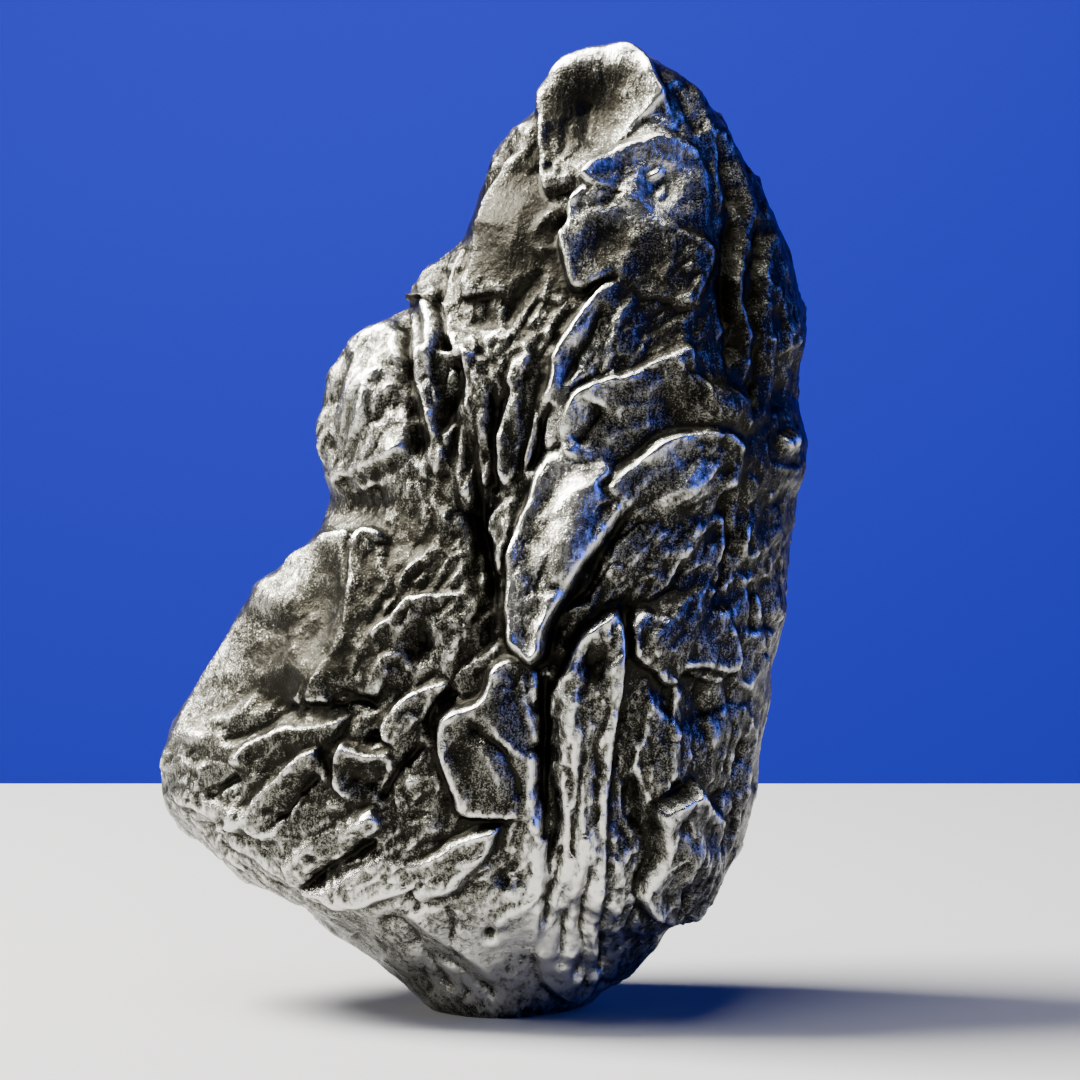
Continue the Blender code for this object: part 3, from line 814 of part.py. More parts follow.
def slab(places, forward, rise, slopes, bevel, corners):
    """The places on and round one slab, how far it covers each, and its height there."""
    ring = curve_through(on_plane(corners + corners[:1]))
    beside = (places > ring.min(axis=0) - bevel) & (places < ring.max(axis=0) + bevel)
    near = np.flatnonzero(beside.all(axis=1))
    inner = within(places[near], ring)
    distance = measure(places[near], ring)[0]
    cover = fade(np.where(inner, distance, -distance), -bevel, bevel)
    out = places[near] - places[near][inner].mean(axis=0)
    sides = np.column_stack([out, np.ones(len(out))])
    level = sides @ np.linalg.lstsq(sides[inner], forward[near][inner], rcond=None)[0]
    levelling = (level - forward[near]).clip(-SLAB_LEVELLING, SLAB_LEVELLING)
    return near, cover, rise + out @ slopes + SLAB_FLATNESS * levelling


def slab_heights(places, forward, facing):
    """The heights of the slabs, each laid over the ones before it, where the body faces the sight."""
    seen = np.flatnonzero(facing > SLAB_FACING[0])
    height = np.zeros(len(seen))
    for rise, rightward, upward, bevel, corners in SLABS:
        slopes = np.array([rightward, upward])
        near, cover, own = slab(places[seen], forward[seen], rise, slopes, bevel + SLAB_SOFTENING, corners)
        height[near] += cover * (own - height[near])
    every = np.zeros(len(places))
    every[seen] = height * fade(facing[seen], *SLAB_FACING)
    return every


def noise_at(points, size, shift):
    return np.fromiter(map(noise.noise, (points / size + shift).tolist()), float, len(points))


def scoops_at(points, size, shift):
    """Rounded hollows with sharp rims between them, from 0 in the middle of each."""
    cells = (noise.voronoi(point)[0][0] for point in (points / size + shift).tolist())
    return np.fromiter(cells, float, len(points)) ** 2


def fold_lean(places):
    """Which way the folds run at each place, in degrees up from level."""
    pull = np.zeros((len(places), 2))
    for column, row, lean in FOLD_LEANS:
        squared = ((places - on_plane([(column, row)])[0]) ** 2).sum(axis=1)
        doubled = math.radians(2 * lean)
        pull += np.outer(1 / (squared + 4.0) ** 1.5, (math.cos(doubled), math.sin(doubled)))
    return np.degrees(np.arctan2(pull[:, 1], pull[:, 0])) / 2


def along_folds(field, points, lean, size, stretch, shift):
    """A field drawn out along the lean, blended from a few fixed directions."""
    spacing = 180.0 / FOLD_DIRECTIONS
    height = np.zeros(len(points))
    for k in range(FOLD_DIRECTIONS):
        away = np.abs((lean - spacing * k + 90) % 180 - 90)
        share = (1 - away / spacing).clip(0)
        near = np.flatnonzero(share > 0)
        cosine, sine = math.cos(math.radians(spacing * k)), math.sin(math.radians(spacing * k))
        x, y, z = points[near].T
        turned = np.stack([(x * cosine + z * sine) / stretch, z * cosine - x * sine, 0.8 * y], axis=1)
        height[near] += share[near] * field(turned / size + shift + 3.1 * k)
    return height


def crests_at(points):
    crests = (noise.ridged_multi_fractal(point, 0.9, 2.0, 2, 0.9, 2.0) for point in points.tolist())
    return np.fromiter(crests, float, len(points))


def plates_at(points):
    """Small plates, each tilted its own way, with a step at each edge."""
    cells = [noise.voronoi(point) for point in points.tolist()]
    gap = np.array([distances[1] - distances[0] for distances, middles in cells])
    middle = np.array([middles[0][:] for distances, middles in cells])
    tilt = np.sin(middle * (37.1, 23.7, 51.3) + middle[:, [2, 0, 1]] * (11.3, 41.9, 17.7))
    height = ((points - middle) * tilt).sum(axis=1) + 0.25 * tilt[:, 0]
    return height * (0.25 + 0.75 * fade(gap, 0, 0.18))


def seen_on_map(points):
    """Where each point is seen, on the upright plane through the middle."""
    spread = SIGHT_POINT[1] / (SIGHT_POINT[1] - points[:, 1])
    return SIGHT_POINT[[0, 2]] + (points[:, [0, 2]] - SIGHT_POINT[[0, 2]]) * spread[:, None]


def sight_facing(points, normals):
    """How squarely each point faces the sight point: 1 full on, 0 edge on, under 0 behind."""
    sight = SIGHT_POINT - points
    sight /= np.linalg.norm(sight, axis=1)[:, None]
    return (normals * sight).sum(axis=1)


def face_share(facing, places):
    """1 on the face and 0 from its edges back."""
    across, upward = ((places - on_plane([CROWN_PLACE])[0]) / CROWN_REACH).T
    crown = np.exp(-across ** 2 - upward ** 2)
    return fade((facing - 0.05 + 0.07 * crown) / (0.37 - 0.17 * crown), 0, 1)


def calm_share(places):
    """CALM_SHARE inside the smoother areas and 1 outside them."""
    share = np.ones(len(places))
    for column, row, half_width, half_height in CALM_AREAS:
        out = (places - on_plane([(column, row)])[0]) / (half_width * UNIT, half_height * UNIT)
        rough = fade((out ** 2).sum(axis=1), 0.6, 1.4)
        share = np.minimum(share, CALM_SHARE + (1 - CALM_SHARE) * rough)
    return share


def drawn_lines(places):
    """At each place, the mean of the heights that the lines near it ask for, the nearest counting most."""
    pulls = np.ones(len(places))
    asked = np.zeros(len(places))
    for row in FACE_STROKES:
        near, pull, height = stroke(places, *row)
        pulls[near] += pull
        asked[near] += pull * height
    return asked / pulls


def relief(points, normals):
    """How far each point of the smooth body moves out, in mm."""
    places = seen_on_map(points)
    facing = sight_facing(points, normals)
    face = face_share(facing, places)
    flank = (1 - face) * (EDGE_SHARE + (1 - EDGE_SHARE) * fade(-facing, 0, 0.5))
    sway = np.stack([noise_at(points, 1.7, shift) for shift in (11.0, 47.0)], axis=1)
    swayed = places + 0.14 * sway
    uneven = 1 + 0.5 * noise_at(points, 1.6, 71.0)
    drawn = uneven * drawn_lines(swayed) + sum(spot(swayed, *row) for row in FACE_SPOTS)
    lean = fold_lean(places)
    wander = np.stack([noise_at(points, 5.0, shift) for shift in (1.0, 21.0, 33.0)], axis=1)
    bent = points + 1.4 * wander
    big = scoops_at(bent * (1.25, 1.0, 0.7), 6.2, 2.0) - 0.3
    small = scoops_at(bent * (1.3, 1.0, 0.8), 2.9, 9.0) - 0.3
    folds = along_folds(crests_at, bent, lean, 2.3, 3.2, 4.0) - 0.8
    plates = along_folds(plates_at, points + 0.35 * wander, lean, 1.7, 2.2, 6.0) * calm_share(places)
    slabs = slab_heights(places + 0.1 * sway, -points[:, 1], facing)
    on_face = drawn + slabs + FACE_PLATES * plates
    on_flank = FLANK_BIG_SCOOPS * big + FLANK_SMALL_SCOOPS * small + FLANK_FOLDS * folds
    on_flank += FLANK_PLATES * plates
    return face * on_face + flank * on_flank + EDGE_PLATES * plates


def raise_relief(body):
    points = mesh_values(body.data.vertices, "co")
    normals = mesh_values(body.data.vertex_normals, "vector")
    moved = points + normals * relief(points, normals)[:, None] + CENTRING
    body.data.vertices.foreach_set("co", moved.astype(np.float32).ravel())
    body.data.update()


def thin_out(body):
    """Brings the mesh down to the face budget, keeping most faces where the shape is sharp."""
    body.data.calc_loop_triangles()
    thin = body.modifiers.new("Thin out", "DECIMATE")
    thin.ratio = FACE_BUDGET / len(body.data.loop_triangles)
    apply_modifiers(body)


def cut_foot(body):
    """Cuts the body flat at the ground, which leaves the face it rests on."""
    bm = bmesh.new()
    bm.from_mesh(body.data)
    every = bm.verts[:] + bm.edges[:] + bm.faces[:]
    cut = bmesh.ops.bisect_plane(bm, geom=every, dist=1e-4, plane_co=(0, 0, 0), plane_no=(0, 0, 1),
                                 clear_inner=True)
    rim = [item for item in cut["geom_cut"] if isinstance(item, bmesh.types.BMEdge)]
    bmesh.ops.contextual_create(bm, geom=rim)
    bmesh.ops.recalc_face_normals(bm, faces=bm.faces)
    bm.to_mesh(body.data)
    bm.free()


def metal_material():
    metal = bpy.data.materials.new("brushed_nickel_iron")
    metal.use_nodes = True
    shader = metal.node_tree.nodes["Principled BSDF"]
    shader.inputs["Base Color"].default_value = METAL_COLOUR
    shader.inputs["Roughness"].default_value = METAL_ROUGHNESS
    shader.inputs["Metallic"].default_value = METAL_METALLIC
    return metal


def build_meteorite():
    body = lofted_body("meteorite")
    even_out(body)
    soften(body, BODY_PASSES)
    raise_relief(body)
    soften(body, RELIEF_PASSES)
    thin_out(body)
    cut_foot(body)
    body.data.transform(((0.001, 0, 0, 0), (0, 0.001, 0, 0), (0, 0, 0.001, 0), (0, 0, 0, 1)))
    body.data.materials.append(metal_material())
    return body


clear_scene()
build_meteorite()
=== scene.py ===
import math

import bpy
import numpy as np
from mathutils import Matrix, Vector, noise


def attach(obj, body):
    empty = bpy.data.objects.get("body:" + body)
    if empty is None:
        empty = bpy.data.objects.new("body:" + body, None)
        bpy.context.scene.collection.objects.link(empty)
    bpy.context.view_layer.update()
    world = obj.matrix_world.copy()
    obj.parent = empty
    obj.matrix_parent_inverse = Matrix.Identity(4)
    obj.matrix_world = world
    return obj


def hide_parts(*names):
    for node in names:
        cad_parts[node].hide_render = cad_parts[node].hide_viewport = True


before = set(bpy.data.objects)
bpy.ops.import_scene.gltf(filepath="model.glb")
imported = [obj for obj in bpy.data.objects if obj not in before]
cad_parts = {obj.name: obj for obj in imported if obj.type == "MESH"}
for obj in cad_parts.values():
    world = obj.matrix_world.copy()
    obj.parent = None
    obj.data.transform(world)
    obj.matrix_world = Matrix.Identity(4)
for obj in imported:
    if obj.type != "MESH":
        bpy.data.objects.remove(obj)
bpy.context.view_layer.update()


# ---------------------------------------------------------------------------------------------
# The lump. One natural fragment of nickel-iron, 62 mm tall, broad in the middle and narrow at
# the foot it stands on. Its broad shape is a stack of level sections, worked in millimetres.
# ---------------------------------------------------------------------------------------------

# The face is laid out on a map with 964 rows from the top of the crown to the foot.
LUMP_HEIGHT = 62.0
MAP_ROWS = 964
MAP_FOOT = 1006
MAP_MIDDLE = 482.5
UNIT = LUMP_HEIGHT / MAP_ROWS

# The map is drawn as the face is seen from here, so forward parts spread a little on it.
SIGHT_POINT = np.array([3.7, -249.4, 47.4])

# Places the finished lump in the middle of its own box.
CENTRING = np.array([-0.09, 0.6, 0.0])

# Level sections on the map: row, left edge, right edge.
OUTLINE = [
    (51, 600, 614), (53, 590, 626), (57, 577, 643), (65, 562, 661), (75, 553, 682), (87, 547, 698),
    (100, 540, 709), (113, 530, 718), (128, 513, 730), (150, 500, 742), (175, 488, 758), (205, 479, 769),
    (235, 466, 780), (255, 438, 788), (263, 424, 791), (285, 414, 796), (305, 411, 802), (315, 386, 804),
    (330, 366, 806), (345, 351, 805), (365, 333, 800), (390, 322, 797), (420, 316, 801), (437, 317, 805),
    (460, 323, 801), (490, 331, 790), (508, 325, 790), (525, 317, 790), (545, 300, 788), (562, 278, 786),
    (580, 254, 786), (605, 240, 787), (630, 229, 780), (655, 213, 773), (690, 191, 770), (725, 171, 764),
    (760, 159, 758), (785, 160, 754), (803, 166, 749), (830, 190, 742), (850, 210, 736), (872, 240, 727),
    (893, 277, 716), (905, 300, 706), (914, 314, 696), (922, 324, 671), (935, 340, 664), (950, 357, 653),
    (965, 380, 640), (980, 400, 622), (992, 412, 600), (1002, 424, 575), (1010, 432, 560), (1020, 440, 550),
]

# Level sections: row, column of the most forward line, front depth and back depth in mm.
DEPTHS = [
    (51, 602, 2.0, 0.8), (54, 602, 2.9, 1.8), (60, 603, 3.7, 2.8), (70, 604, 4.3, 3.8), (90, 606, 4.9, 5.0),
    (120, 610, 5.6, 6.2), (160, 618, 6.6, 7.4), (210, 626, 7.8, 8.8), (270, 622, 8.8, 10.0),
    (340, 620, 9.8, 11.0), (420, 622, 10.4, 11.6), (500, 608, 10.8, 12.0), (580, 580, 11.2, 12.0),
    (660, 556, 11.4, 11.8), (740, 540, 11.4, 11.2), (800, 528, 11.2, 10.4), (850, 515, 10.8, 9.6),
    (885, 500, 10.0, 8.9), (920, 495, 8.2, 8.0), (955, 495, 6.6, 6.9), (985, 495, 5.2, 5.9),
    (1006, 495, 4.4, 5.2), (1020, 495, 4.1, 5.0),
]

# How full each quarter of a section is. 2 is an ellipse, less is nearer a wedge, more is squarer.
LEFT_FULLNESS = 1.85
RIGHT_FULLNESS = 2.1
BACK_FULLNESS = 2.2
CROWN_FULLNESS = 1.2
CROWN_ROWS = (90, 170)

# The most forward line stays between these shares of a section's width, from its left edge.
KEEL_SHARES = (0.3, 0.85)

# How far the edges and the depths are blurred along the lump, in rows.
EDGE_BLUR = 2.0
DEPTH_BLUR = 10.0

# The rows that get a section. They lie close together where the crown closes.
SECTION_ROWS = [51.0, 52.0, 53.5, 56.0, 59.0] + list(np.arange(62.0, 1018.0, 4.0)) + [1019.0]

POINTS_ROUND = 96
SPHERE_RADIUS = 30
FINE_MESH = 0.14
EVEN_MESH = FINE_MESH
BODY_SMOOTHING = 4


def fade(value, low, high):
    """0 below low, 1 above high, smooth between."""
    share = np.clip((value - low) / (high - low), 0, 1)
    return share * share * (3 - 2 * share)


def softened(rows, table, column, spread):
    """One column of a table, read at every row and blurred along its length."""
    table = np.array(table, float)
    values = np.interp(rows, table[:, 0], table[:, column])
    reach = int(3 * spread)
    kernel = np.exp(-0.5 * (np.arange(-reach, reach + 1) / spread) ** 2)
    before = 2 * values[0] - values[reach:0:-1]
    after = 2 * values[-1] - values[-2:-reach - 2:-1]
    return np.convolve(np.concatenate([before, values, after]), kernel / kernel.sum(), "valid")


def section_ring(left, right, keel, front, back, row):
    """One level section as points in mm, starting at its right edge."""
    across = np.cos(np.linspace(0, 2 * math.pi, POINTS_ROUND, endpoint=False))
    fullness = np.where(across < 0, LEFT_FULLNESS, RIGHT_FULLNESS)
    fullness += CROWN_FULLNESS * (1 - fade(row, *CROWN_ROWS))
    front_share = (1 - np.abs(across) ** fullness).clip(0) ** (1 / fullness)
    back_share = (1 - np.abs(across) ** BACK_FULLNESS).clip(0) ** (1 / BACK_FULLNESS)
    front_column = keel + np.where(across < 0, keel - left, right - keel) * across
    back_column = (left + right) / 2 + (right - left) / 2 * across
    is_front = np.arange(POINTS_ROUND) > POINTS_ROUND / 2
    x = (np.where(is_front, front_column, back_column) - MAP_MIDDLE) * UNIT
    y = np.where(is_front, -front * front_share, back * back_share)
    return np.stack([x, y, np.full(POINTS_ROUND, (MAP_FOOT - row) * UNIT)], axis=1)


def section_rings():
    rows = np.arange(OUTLINE[0][0], OUTLINE[-1][0] + 1.0)
    columns = [softened(rows, OUTLINE, k, EDGE_BLUR) for k in (1, 2)]
    columns += [softened(rows, DEPTHS, k, DEPTH_BLUR) for k in (1, 2, 3)]
    rings = []
    for row in SECTION_ROWS:
        left, right, keel, front, back = (np.interp(row, rows, column) for column in columns)
        nearest, farthest = (left + share * (right - left) for share in KEEL_SHARES)
        rings.append(section_ring(left, right, np.clip(keel, nearest, farthest), front, back, row))
    return rings


def read_points(mesh):
    return read_vectors(mesh.vertices, "co")


def read_normals(mesh):
    return read_vectors(mesh.vertex_normals, "vector")


def read_vectors(holders, field):
    values = np.empty(len(holders) * 3, np.float32)
    holders.foreach_get(field, values)
    return values.reshape(-1, 3).astype(float)


def move_points(mesh, points):
    mesh.vertices.foreach_set("co", points.astype(np.float32).ravel())
    mesh.update()


def finish_modifier(piece, modifier):
    bpy.context.view_layer.objects.active = piece
    bpy.ops.object.modifier_apply(modifier=modifier.name)


def smooth_out(piece, passes):
    smooth = piece.modifiers.new("Smooth", "SMOOTH")
    smooth.factor = 0.5
    smooth.iterations = passes
    finish_modifier(piece, smooth)


# A sphere is drawn out ring by ring to the sections, then given an even mesh.
rings = section_rings()
bpy.ops.object.select_all(action="DESELECT")
bpy.ops.mesh.primitive_uv_sphere_add(segments=POINTS_ROUND, ring_count=len(rings) + 1, radius=SPHERE_RADIUS)
lump = bpy.context.object
lump.name = "iron_lump"
sphere = read_points(lump.data)
from_top = np.arccos(np.clip(sphere[:, 2] / SPHERE_RADIUS, -1, 1))
ring_of = np.rint(from_top / math.pi * (len(rings) + 1)).astype(int)
turn_of = np.rint(np.arctan2(sphere[:, 1], sphere[:, 0]) / (2 * math.pi) * POINTS_ROUND).astype(int)
poles = [np.repeat(ring.mean(axis=0)[None], POINTS_ROUND, axis=0) for ring in (rings[0], rings[-1])]
stack = np.array([poles[0]] + rings + [poles[1]])
move_points(lump.data, stack[ring_of, turn_of % POINTS_ROUND])
even = lump.modifiers.new("Even mesh", "REMESH")
even.mode = "VOXEL"
even.voxel_size = EVEN_MESH
finish_modifier(lump, even)
smooth_out(lump, BODY_SMOOTHING)


# ---------------------------------------------------------------------------------------------
# The drawn relief of the face. Air melted and tore the iron as it fell, and rust and wire
# brushing opened the weak bands, so the face is crossed by crests, channels and torn plates.
# ---------------------------------------------------------------------------------------------

# In each table below: form, height mm, width mm, points on the map. A ledge is raised on the left
# hand of its path.

# The crown: a rounded rim round a scoop, and under it a second scoop with a rough pit.
CROWN = [
    ("ridge", 0.56, 0.55, [(540, 116), (543, 90), (550, 73), (565, 62), (585, 54), (605, 50), (625, 54),
        (640, 63), (650, 78), (658, 92), (664, 106), (673, 124)]),
    ("ledge", 0.36, 1.6, [(541, 112), (542, 132), (543, 160), (545, 186), (556, 187), (568, 183),
        (580, 176)]),
    ("groove", 0.2, 0.4, [(565, 112), (563, 135), (562, 158), (563, 180)]),
    ("groove", 0.16, 0.35, [(552, 120), (553, 145), (555, 175)]),
    ("groove", 0.23, 0.35, [(590, 90), (585, 115), (580, 140)]),
    ("groove", 0.45, 0.35, [(583, 183), (572, 196), (566, 212), (562, 235)]),
    ("ridge", 0.38, 0.5, [(640, 112), (650, 118), (662, 122), (675, 128)]),
    ("ridge", 0.52, 0.5, [(568, 226), (572, 208), (578, 193), (585, 176), (594, 162), (606, 152),
        (620, 144), (640, 139), (656, 134), (672, 136), (686, 142), (700, 158)]),
    ("ledge", 0.23, 0.8, [(700, 158), (686, 142), (672, 136), (656, 134), (640, 139), (620, 144),
        (606, 152), (594, 162)]),
    ("ridge", 0.34, 0.45, [(598, 188), (610, 191), (622, 193), (635, 198), (648, 210), (663, 221),
        (680, 228), (698, 237), (713, 248)]),
    ("ledge", 0.27, 1.0, [(569, 218), (563, 236), (565, 255), (567, 272), (571, 284), (584, 287),
        (596, 280), (607, 274), (616, 267)]),
    ("ridge", 0.22, 0.25, [(637, 228), (629, 245), (622, 262), (618, 280)]),
    ("ridge", 0.19, 0.25, [(647, 223), (643, 240), (640, 256)]),
    ("ridge", 0.26, 0.4, [(668, 228), (672, 245), (668, 262), (660, 280)]),
    ("ridge", 0.3, 0.3, [(553, 200), (546, 218), (539, 234), (538, 247), (547, 250), (560, 243),
        (566, 231)]),
    ("ridge", 0.15, 0.35, [(668, 92), (676, 106), (684, 120)]),
    ("ridge", 0.26, 0.3, [(690, 75), (697, 95), (706, 118)]),
    ("groove", 0.45, 0.4, [(672, 84), (680, 98), (688, 114), (698, 134)]),
]

# The ridges that run down the upper left edge to the finger.
UPPER_LEFT = [
    ("ridge", 0.45, 0.4, [(528, 114), (515, 132), (501, 155), (491, 176), (485, 197), (478, 225),
        (470, 243)]),
    ("ledge", 0.32, 0.9, [(533, 132), (513, 165), (503, 186), (498, 206), (492, 226), (479, 251),
        (472, 265), (468, 280), (467, 296)]),
    ("ridge", 0.3, 0.35, [(534, 130), (513, 165), (503, 186), (498, 206), (492, 226), (479, 251),
        (472, 265), (468, 280), (467, 296)]),
    ("ledge", 0.36, 1.2, [(467, 297), (482, 293), (496, 288), (507, 291), (520, 282), (533, 273),
        (547, 264)]),
    ("ridge", 0.3, 0.35, [(470, 243), (460, 260), (451, 279), (447, 300), (447, 320), (452, 336),
        (461, 349)]),
    ("ledge", 0.23, 0.6, [(445, 262), (444, 290), (444, 320), (448, 345)]),
    ("groove", 0.78, 0.35, [(446, 258), (445, 290), (444, 322), (449, 350)]),
    ("ridge", 0.38, 0.4, [(424, 262), (417, 290), (415, 320), (418, 350), (424, 372)]),
    ("ridge", 0.22, 0.3, [(436, 262), (433, 290), (431, 320), (434, 350)]),
    ("groove", 1.17, 0.45, [(412, 306), (406, 330), (405, 360), (407, 395), (412, 430), (420, 462)]),
    ("ridge", 0.3, 0.3, [(405, 325), (397, 340), (399, 361)]),
    ("ridge", 0.26, 0.3, [(525, 150), (516, 175), (510, 200), (508, 225), (500, 250)]),
    ("ridge", 0.26, 0.3, [(538, 192), (528, 215), (522, 240), (510, 262)]),
    ("ridge", 0.22, 0.3, [(505, 300), (500, 320), (502, 340)]),
    ("ridge", 0.22, 0.3, [(548, 268), (545, 290), (536, 310), (532, 322)]),
    ("ridge", 0.22, 0.25, [(562, 292), (555, 310), (550, 322)]),
]

# The rough lobe that stands out at the left of the middle.
LEFT_LOBE = [
    ("ridge", 0.3, 0.5, [(398, 318), (375, 326), (355, 345), (340, 362), (330, 385), (323, 412), (324, 440),
        (332, 462)]),
    ("ridge", 0.26, 0.25, [(392, 345), (375, 358), (360, 376), (352, 398)]),
    ("ridge", 0.26, 0.25, [(398, 375), (385, 385), (372, 402), (358, 425), (350, 448)]),
    ("ridge", 0.22, 0.25, [(396, 405), (386, 420), (377, 438), (365, 455)]),
    ("ridge", 0.22, 0.25, [(352, 372), (343, 392), (338, 415), (340, 440)]),
    ("ridge", 0.19, 0.2, [(385, 360), (370, 378), (364, 392)]),
    ("ridge", 0.19, 0.2, [(395, 430), (384, 445), (374, 458)]),
    ("ledge", 0.16, 1.2, [(332, 482), (350, 471), (374, 461), (396, 449), (408, 440)]),
    ("ridge", 0.22, 0.25, [(345, 490), (360, 485), (380, 478), (398, 470)]),
    ("ridge", 0.22, 0.25, [(375, 500), (388, 490), (400, 487), (413, 478)]),
]

# The narrow upright folds left of the middle.
TWIN_FOLD = [(543, 354), (546, 370), (543, 385), (537, 399), (533, 424), (528, 445), (525, 465), (520, 477)]
MIDDLE_FOLDS = [
    ("ridge", 0.38, 0.3, [(414, 358), (420, 380), (428, 402), (434, 420), (439, 437)]),
    ("ridge", 0.38, 0.3, [(463, 393), (455, 411), (446, 440), (441, 455), (437, 475), (434, 494),
        (440, 508), (455, 526)]),
    ("ridge", 0.3, 0.25, [(464, 344), (468, 360), (477, 371), (484, 386), (478, 396), (475, 416),
        (470, 436)]),
    ("ridge", 0.22, 0.25, [(480, 328), (475, 345), (486, 360)]),
    ("ridge", 0.3, 0.25, [(459, 414), (461, 440), (466, 462), (468, 481), (462, 500), (463, 520),
        (467, 542), (471, 566)]),
    ("ledge", 0.27, 0.6, [(511, 358), (508, 375), (512, 388), (505, 410), (500, 428), (497, 445)]),
    ("ridge", 0.3, 0.25, [(532, 384), (521, 395), (513, 410), (506, 427), (501, 441), (500, 465),
        (505, 481)]),
    ("ledge", 0.27, 0.6, TWIN_FOLD),
    ("ridge", 0.22, 0.25, TWIN_FOLD),
    ("ridge", 0.34, 0.3, [(498, 499), (488, 510), (484, 524), (491, 532), (497, 545), (500, 566)]),
    ("ridge", 0.22, 0.25, [(511, 519), (505, 540), (500, 561), (497, 582), (499, 606), (499, 628)]),
    ("ridge", 0.22, 0.22, [(478, 540), (478, 560), (480, 585), (478, 605)]),
    ("ridge", 0.22, 0.22, [(488, 400), (486, 425), (488, 450), (484, 475), (478, 490)]),
    ("ridge", 0.22, 0.22, [(450, 455), (452, 475), (450, 495)]),
    ("ridge", 0.22, 0.22, [(425, 440), (424, 465), (420, 488), (424, 510), (430, 530)]),
    ("ridge", 0.22, 0.22, [(410, 470), (405, 490), (396, 508), (394, 525)]),
    ("groove", 1.04, 0.4, [(455, 350), (459, 372), (452, 392), (447, 415), (441, 432)]),
    ("groove", 0.91, 0.35, [(495, 375), (492, 400), (493, 425), (490, 455), (492, 478), (496, 492)]),
    ("groove", 1.17, 0.4, [(552, 398), (545, 415), (540, 436), (536, 455), (528, 472)]),
    ("groove", 1.04, 0.4, [(475, 480), (475, 510), (482, 545), (490, 580), (492, 610), (488, 640),
        (478, 660)]),
    ("ridge", 0.26, 0.25, [(520, 335), (528, 352), (528, 372)]),
]

# The long pair of ridges, the tongue they end in, and the smooth lobe to their right.
LONG_EDGE = [(618, 277), (601, 285), (590, 297), (580, 310), (570, 325), (560, 338), (553, 351), (552, 366),
        (550, 381), (544, 395)]
CENTRE = [
    # the long pair of ridges that run down from under the crown
    ("ledge", 0.54, 1.6, LONG_EDGE),
    ("ridge", 0.41, 0.35, LONG_EDGE),
    ("ridge", 0.45, 0.4, [(633, 294), (625, 305), (618, 320), (613, 335), (606, 350), (595, 364),
        (583, 373), (575, 385), (568, 401), (564, 420), (560, 436)]),
    ("groove", 0.52, 0.4, [(606, 300), (597, 315), (590, 332), (580, 350), (570, 368), (564, 385)]),
    ("ridge", 0.45, 0.4, [(559, 440), (565, 450), (580, 458), (598, 456), (609, 465), (596, 480),
        (577, 490), (560, 500)]),
    ("groove", 0.65, 0.4, [(600, 400), (590, 420), (578, 440)]),
    ("ledge", 0.36, 0.9, [(552, 445), (540, 463), (534, 480), (529, 496), (524, 513), (516, 530)]),
    ("ledge", 0.85, 1.9, [(520, 526), (512, 545), (509, 566), (508, 592), (508, 618), (509, 637),
        (519, 649), (530, 661), (540, 655), (546, 641), (551, 622), (560, 603), (570, 588)]),
    ("ridge", 0.3, 0.3, [(516, 535), (511, 552), (509, 575), (508, 600), (508, 620), (510, 637), (519, 649),
        (530, 660), (540, 655), (546, 641)]),
    ("ridge", 0.38, 0.35, [(602, 480), (581, 492), (560, 505), (545, 515), (530, 534), (516, 545)]),
    ("ridge", 0.26, 0.35, [(536, 548), (533, 575), (532, 600), (534, 625)]),
    ("ledge", 0.41, 1.0, [(570, 588), (585, 562), (600, 545), (615, 521), (628, 505), (642, 489)]),
    ("ridge", 0.26, 0.35, [(548, 580), (562, 572), (575, 560), (588, 545), (600, 530)]),
    ("groove", 0.91, 0.4, [(600, 552), (590, 575), (578, 590), (560, 612), (552, 640)]),
    # scoop and bars right of the pair
    ("ridge", 0.38, 0.35, [(608, 373), (630, 370), (650, 358), (670, 350), (690, 343)]),
    ("ledge", 0.23, 0.8, [(690, 343), (670, 350), (650, 358), (630, 370), (608, 373)]),
    ("ridge", 0.26, 0.25, [(640, 388), (656, 378), (676, 365)]),
    ("ridge", 0.22, 0.25, [(623, 396), (645, 388), (658, 382)]),
    ("ridge", 0.26, 0.3, [(612, 412), (628, 404), (648, 402), (668, 398)]),
    ("ridge", 0.22, 0.25, [(606, 440), (622, 428), (640, 425), (655, 418)]),
    ("ridge", 0.45, 0.45, [(688, 344), (693, 365), (704, 379), (721, 385), (738, 395), (745, 410),
        (743, 431)]),
    ("ledge", 0.45, 1.2, [(743, 448), (730, 434), (710, 429), (690, 428), (665, 433), (650, 441),
        (636, 456)]),
    ("ridge", 0.26, 0.25, [(743, 436), (730, 431), (710, 426), (690, 426), (665, 431), (650, 440),
        (635, 455)]),
    ("ridge", 0.34, 0.3, [(618, 502), (628, 490), (642, 480), (662, 466), (682, 458)]),
    # slanting bars below the smooth lobe
    ("ridge", 0.34, 0.35, [(668, 525), (650, 540), (635, 555), (624, 572), (615, 592)]),
    ("ridge", 0.34, 0.35, [(700, 515), (688, 535), (680, 553), (672, 574), (660, 588), (644, 597)]),
    ("ridge", 0.26, 0.3, [(640, 508), (622, 530), (610, 550), (600, 575)]),
    ("ridge", 0.22, 0.25, [(682, 520), (665, 540), (655, 556)]),
    ("ridge", 0.34, 0.35, [(720, 590), (706, 584), (692, 592), (676, 600), (668, 616)]),
    ("ridge", 0.26, 0.3, [(655, 574), (640, 570), (628, 580), (616, 590)]),
    ("ridge", 0.26, 0.3, [(722, 508), (724, 530), (722, 555), (718, 580)]),
    ("groove", 1.04, 0.4, [(735, 480), (728, 500), (732, 530), (728, 560), (722, 585), (720, 610)]),
    ("groove", 0.78, 0.4, [(600, 600), (618, 606), (640, 600), (660, 590), (676, 575), (684, 552)]),
]

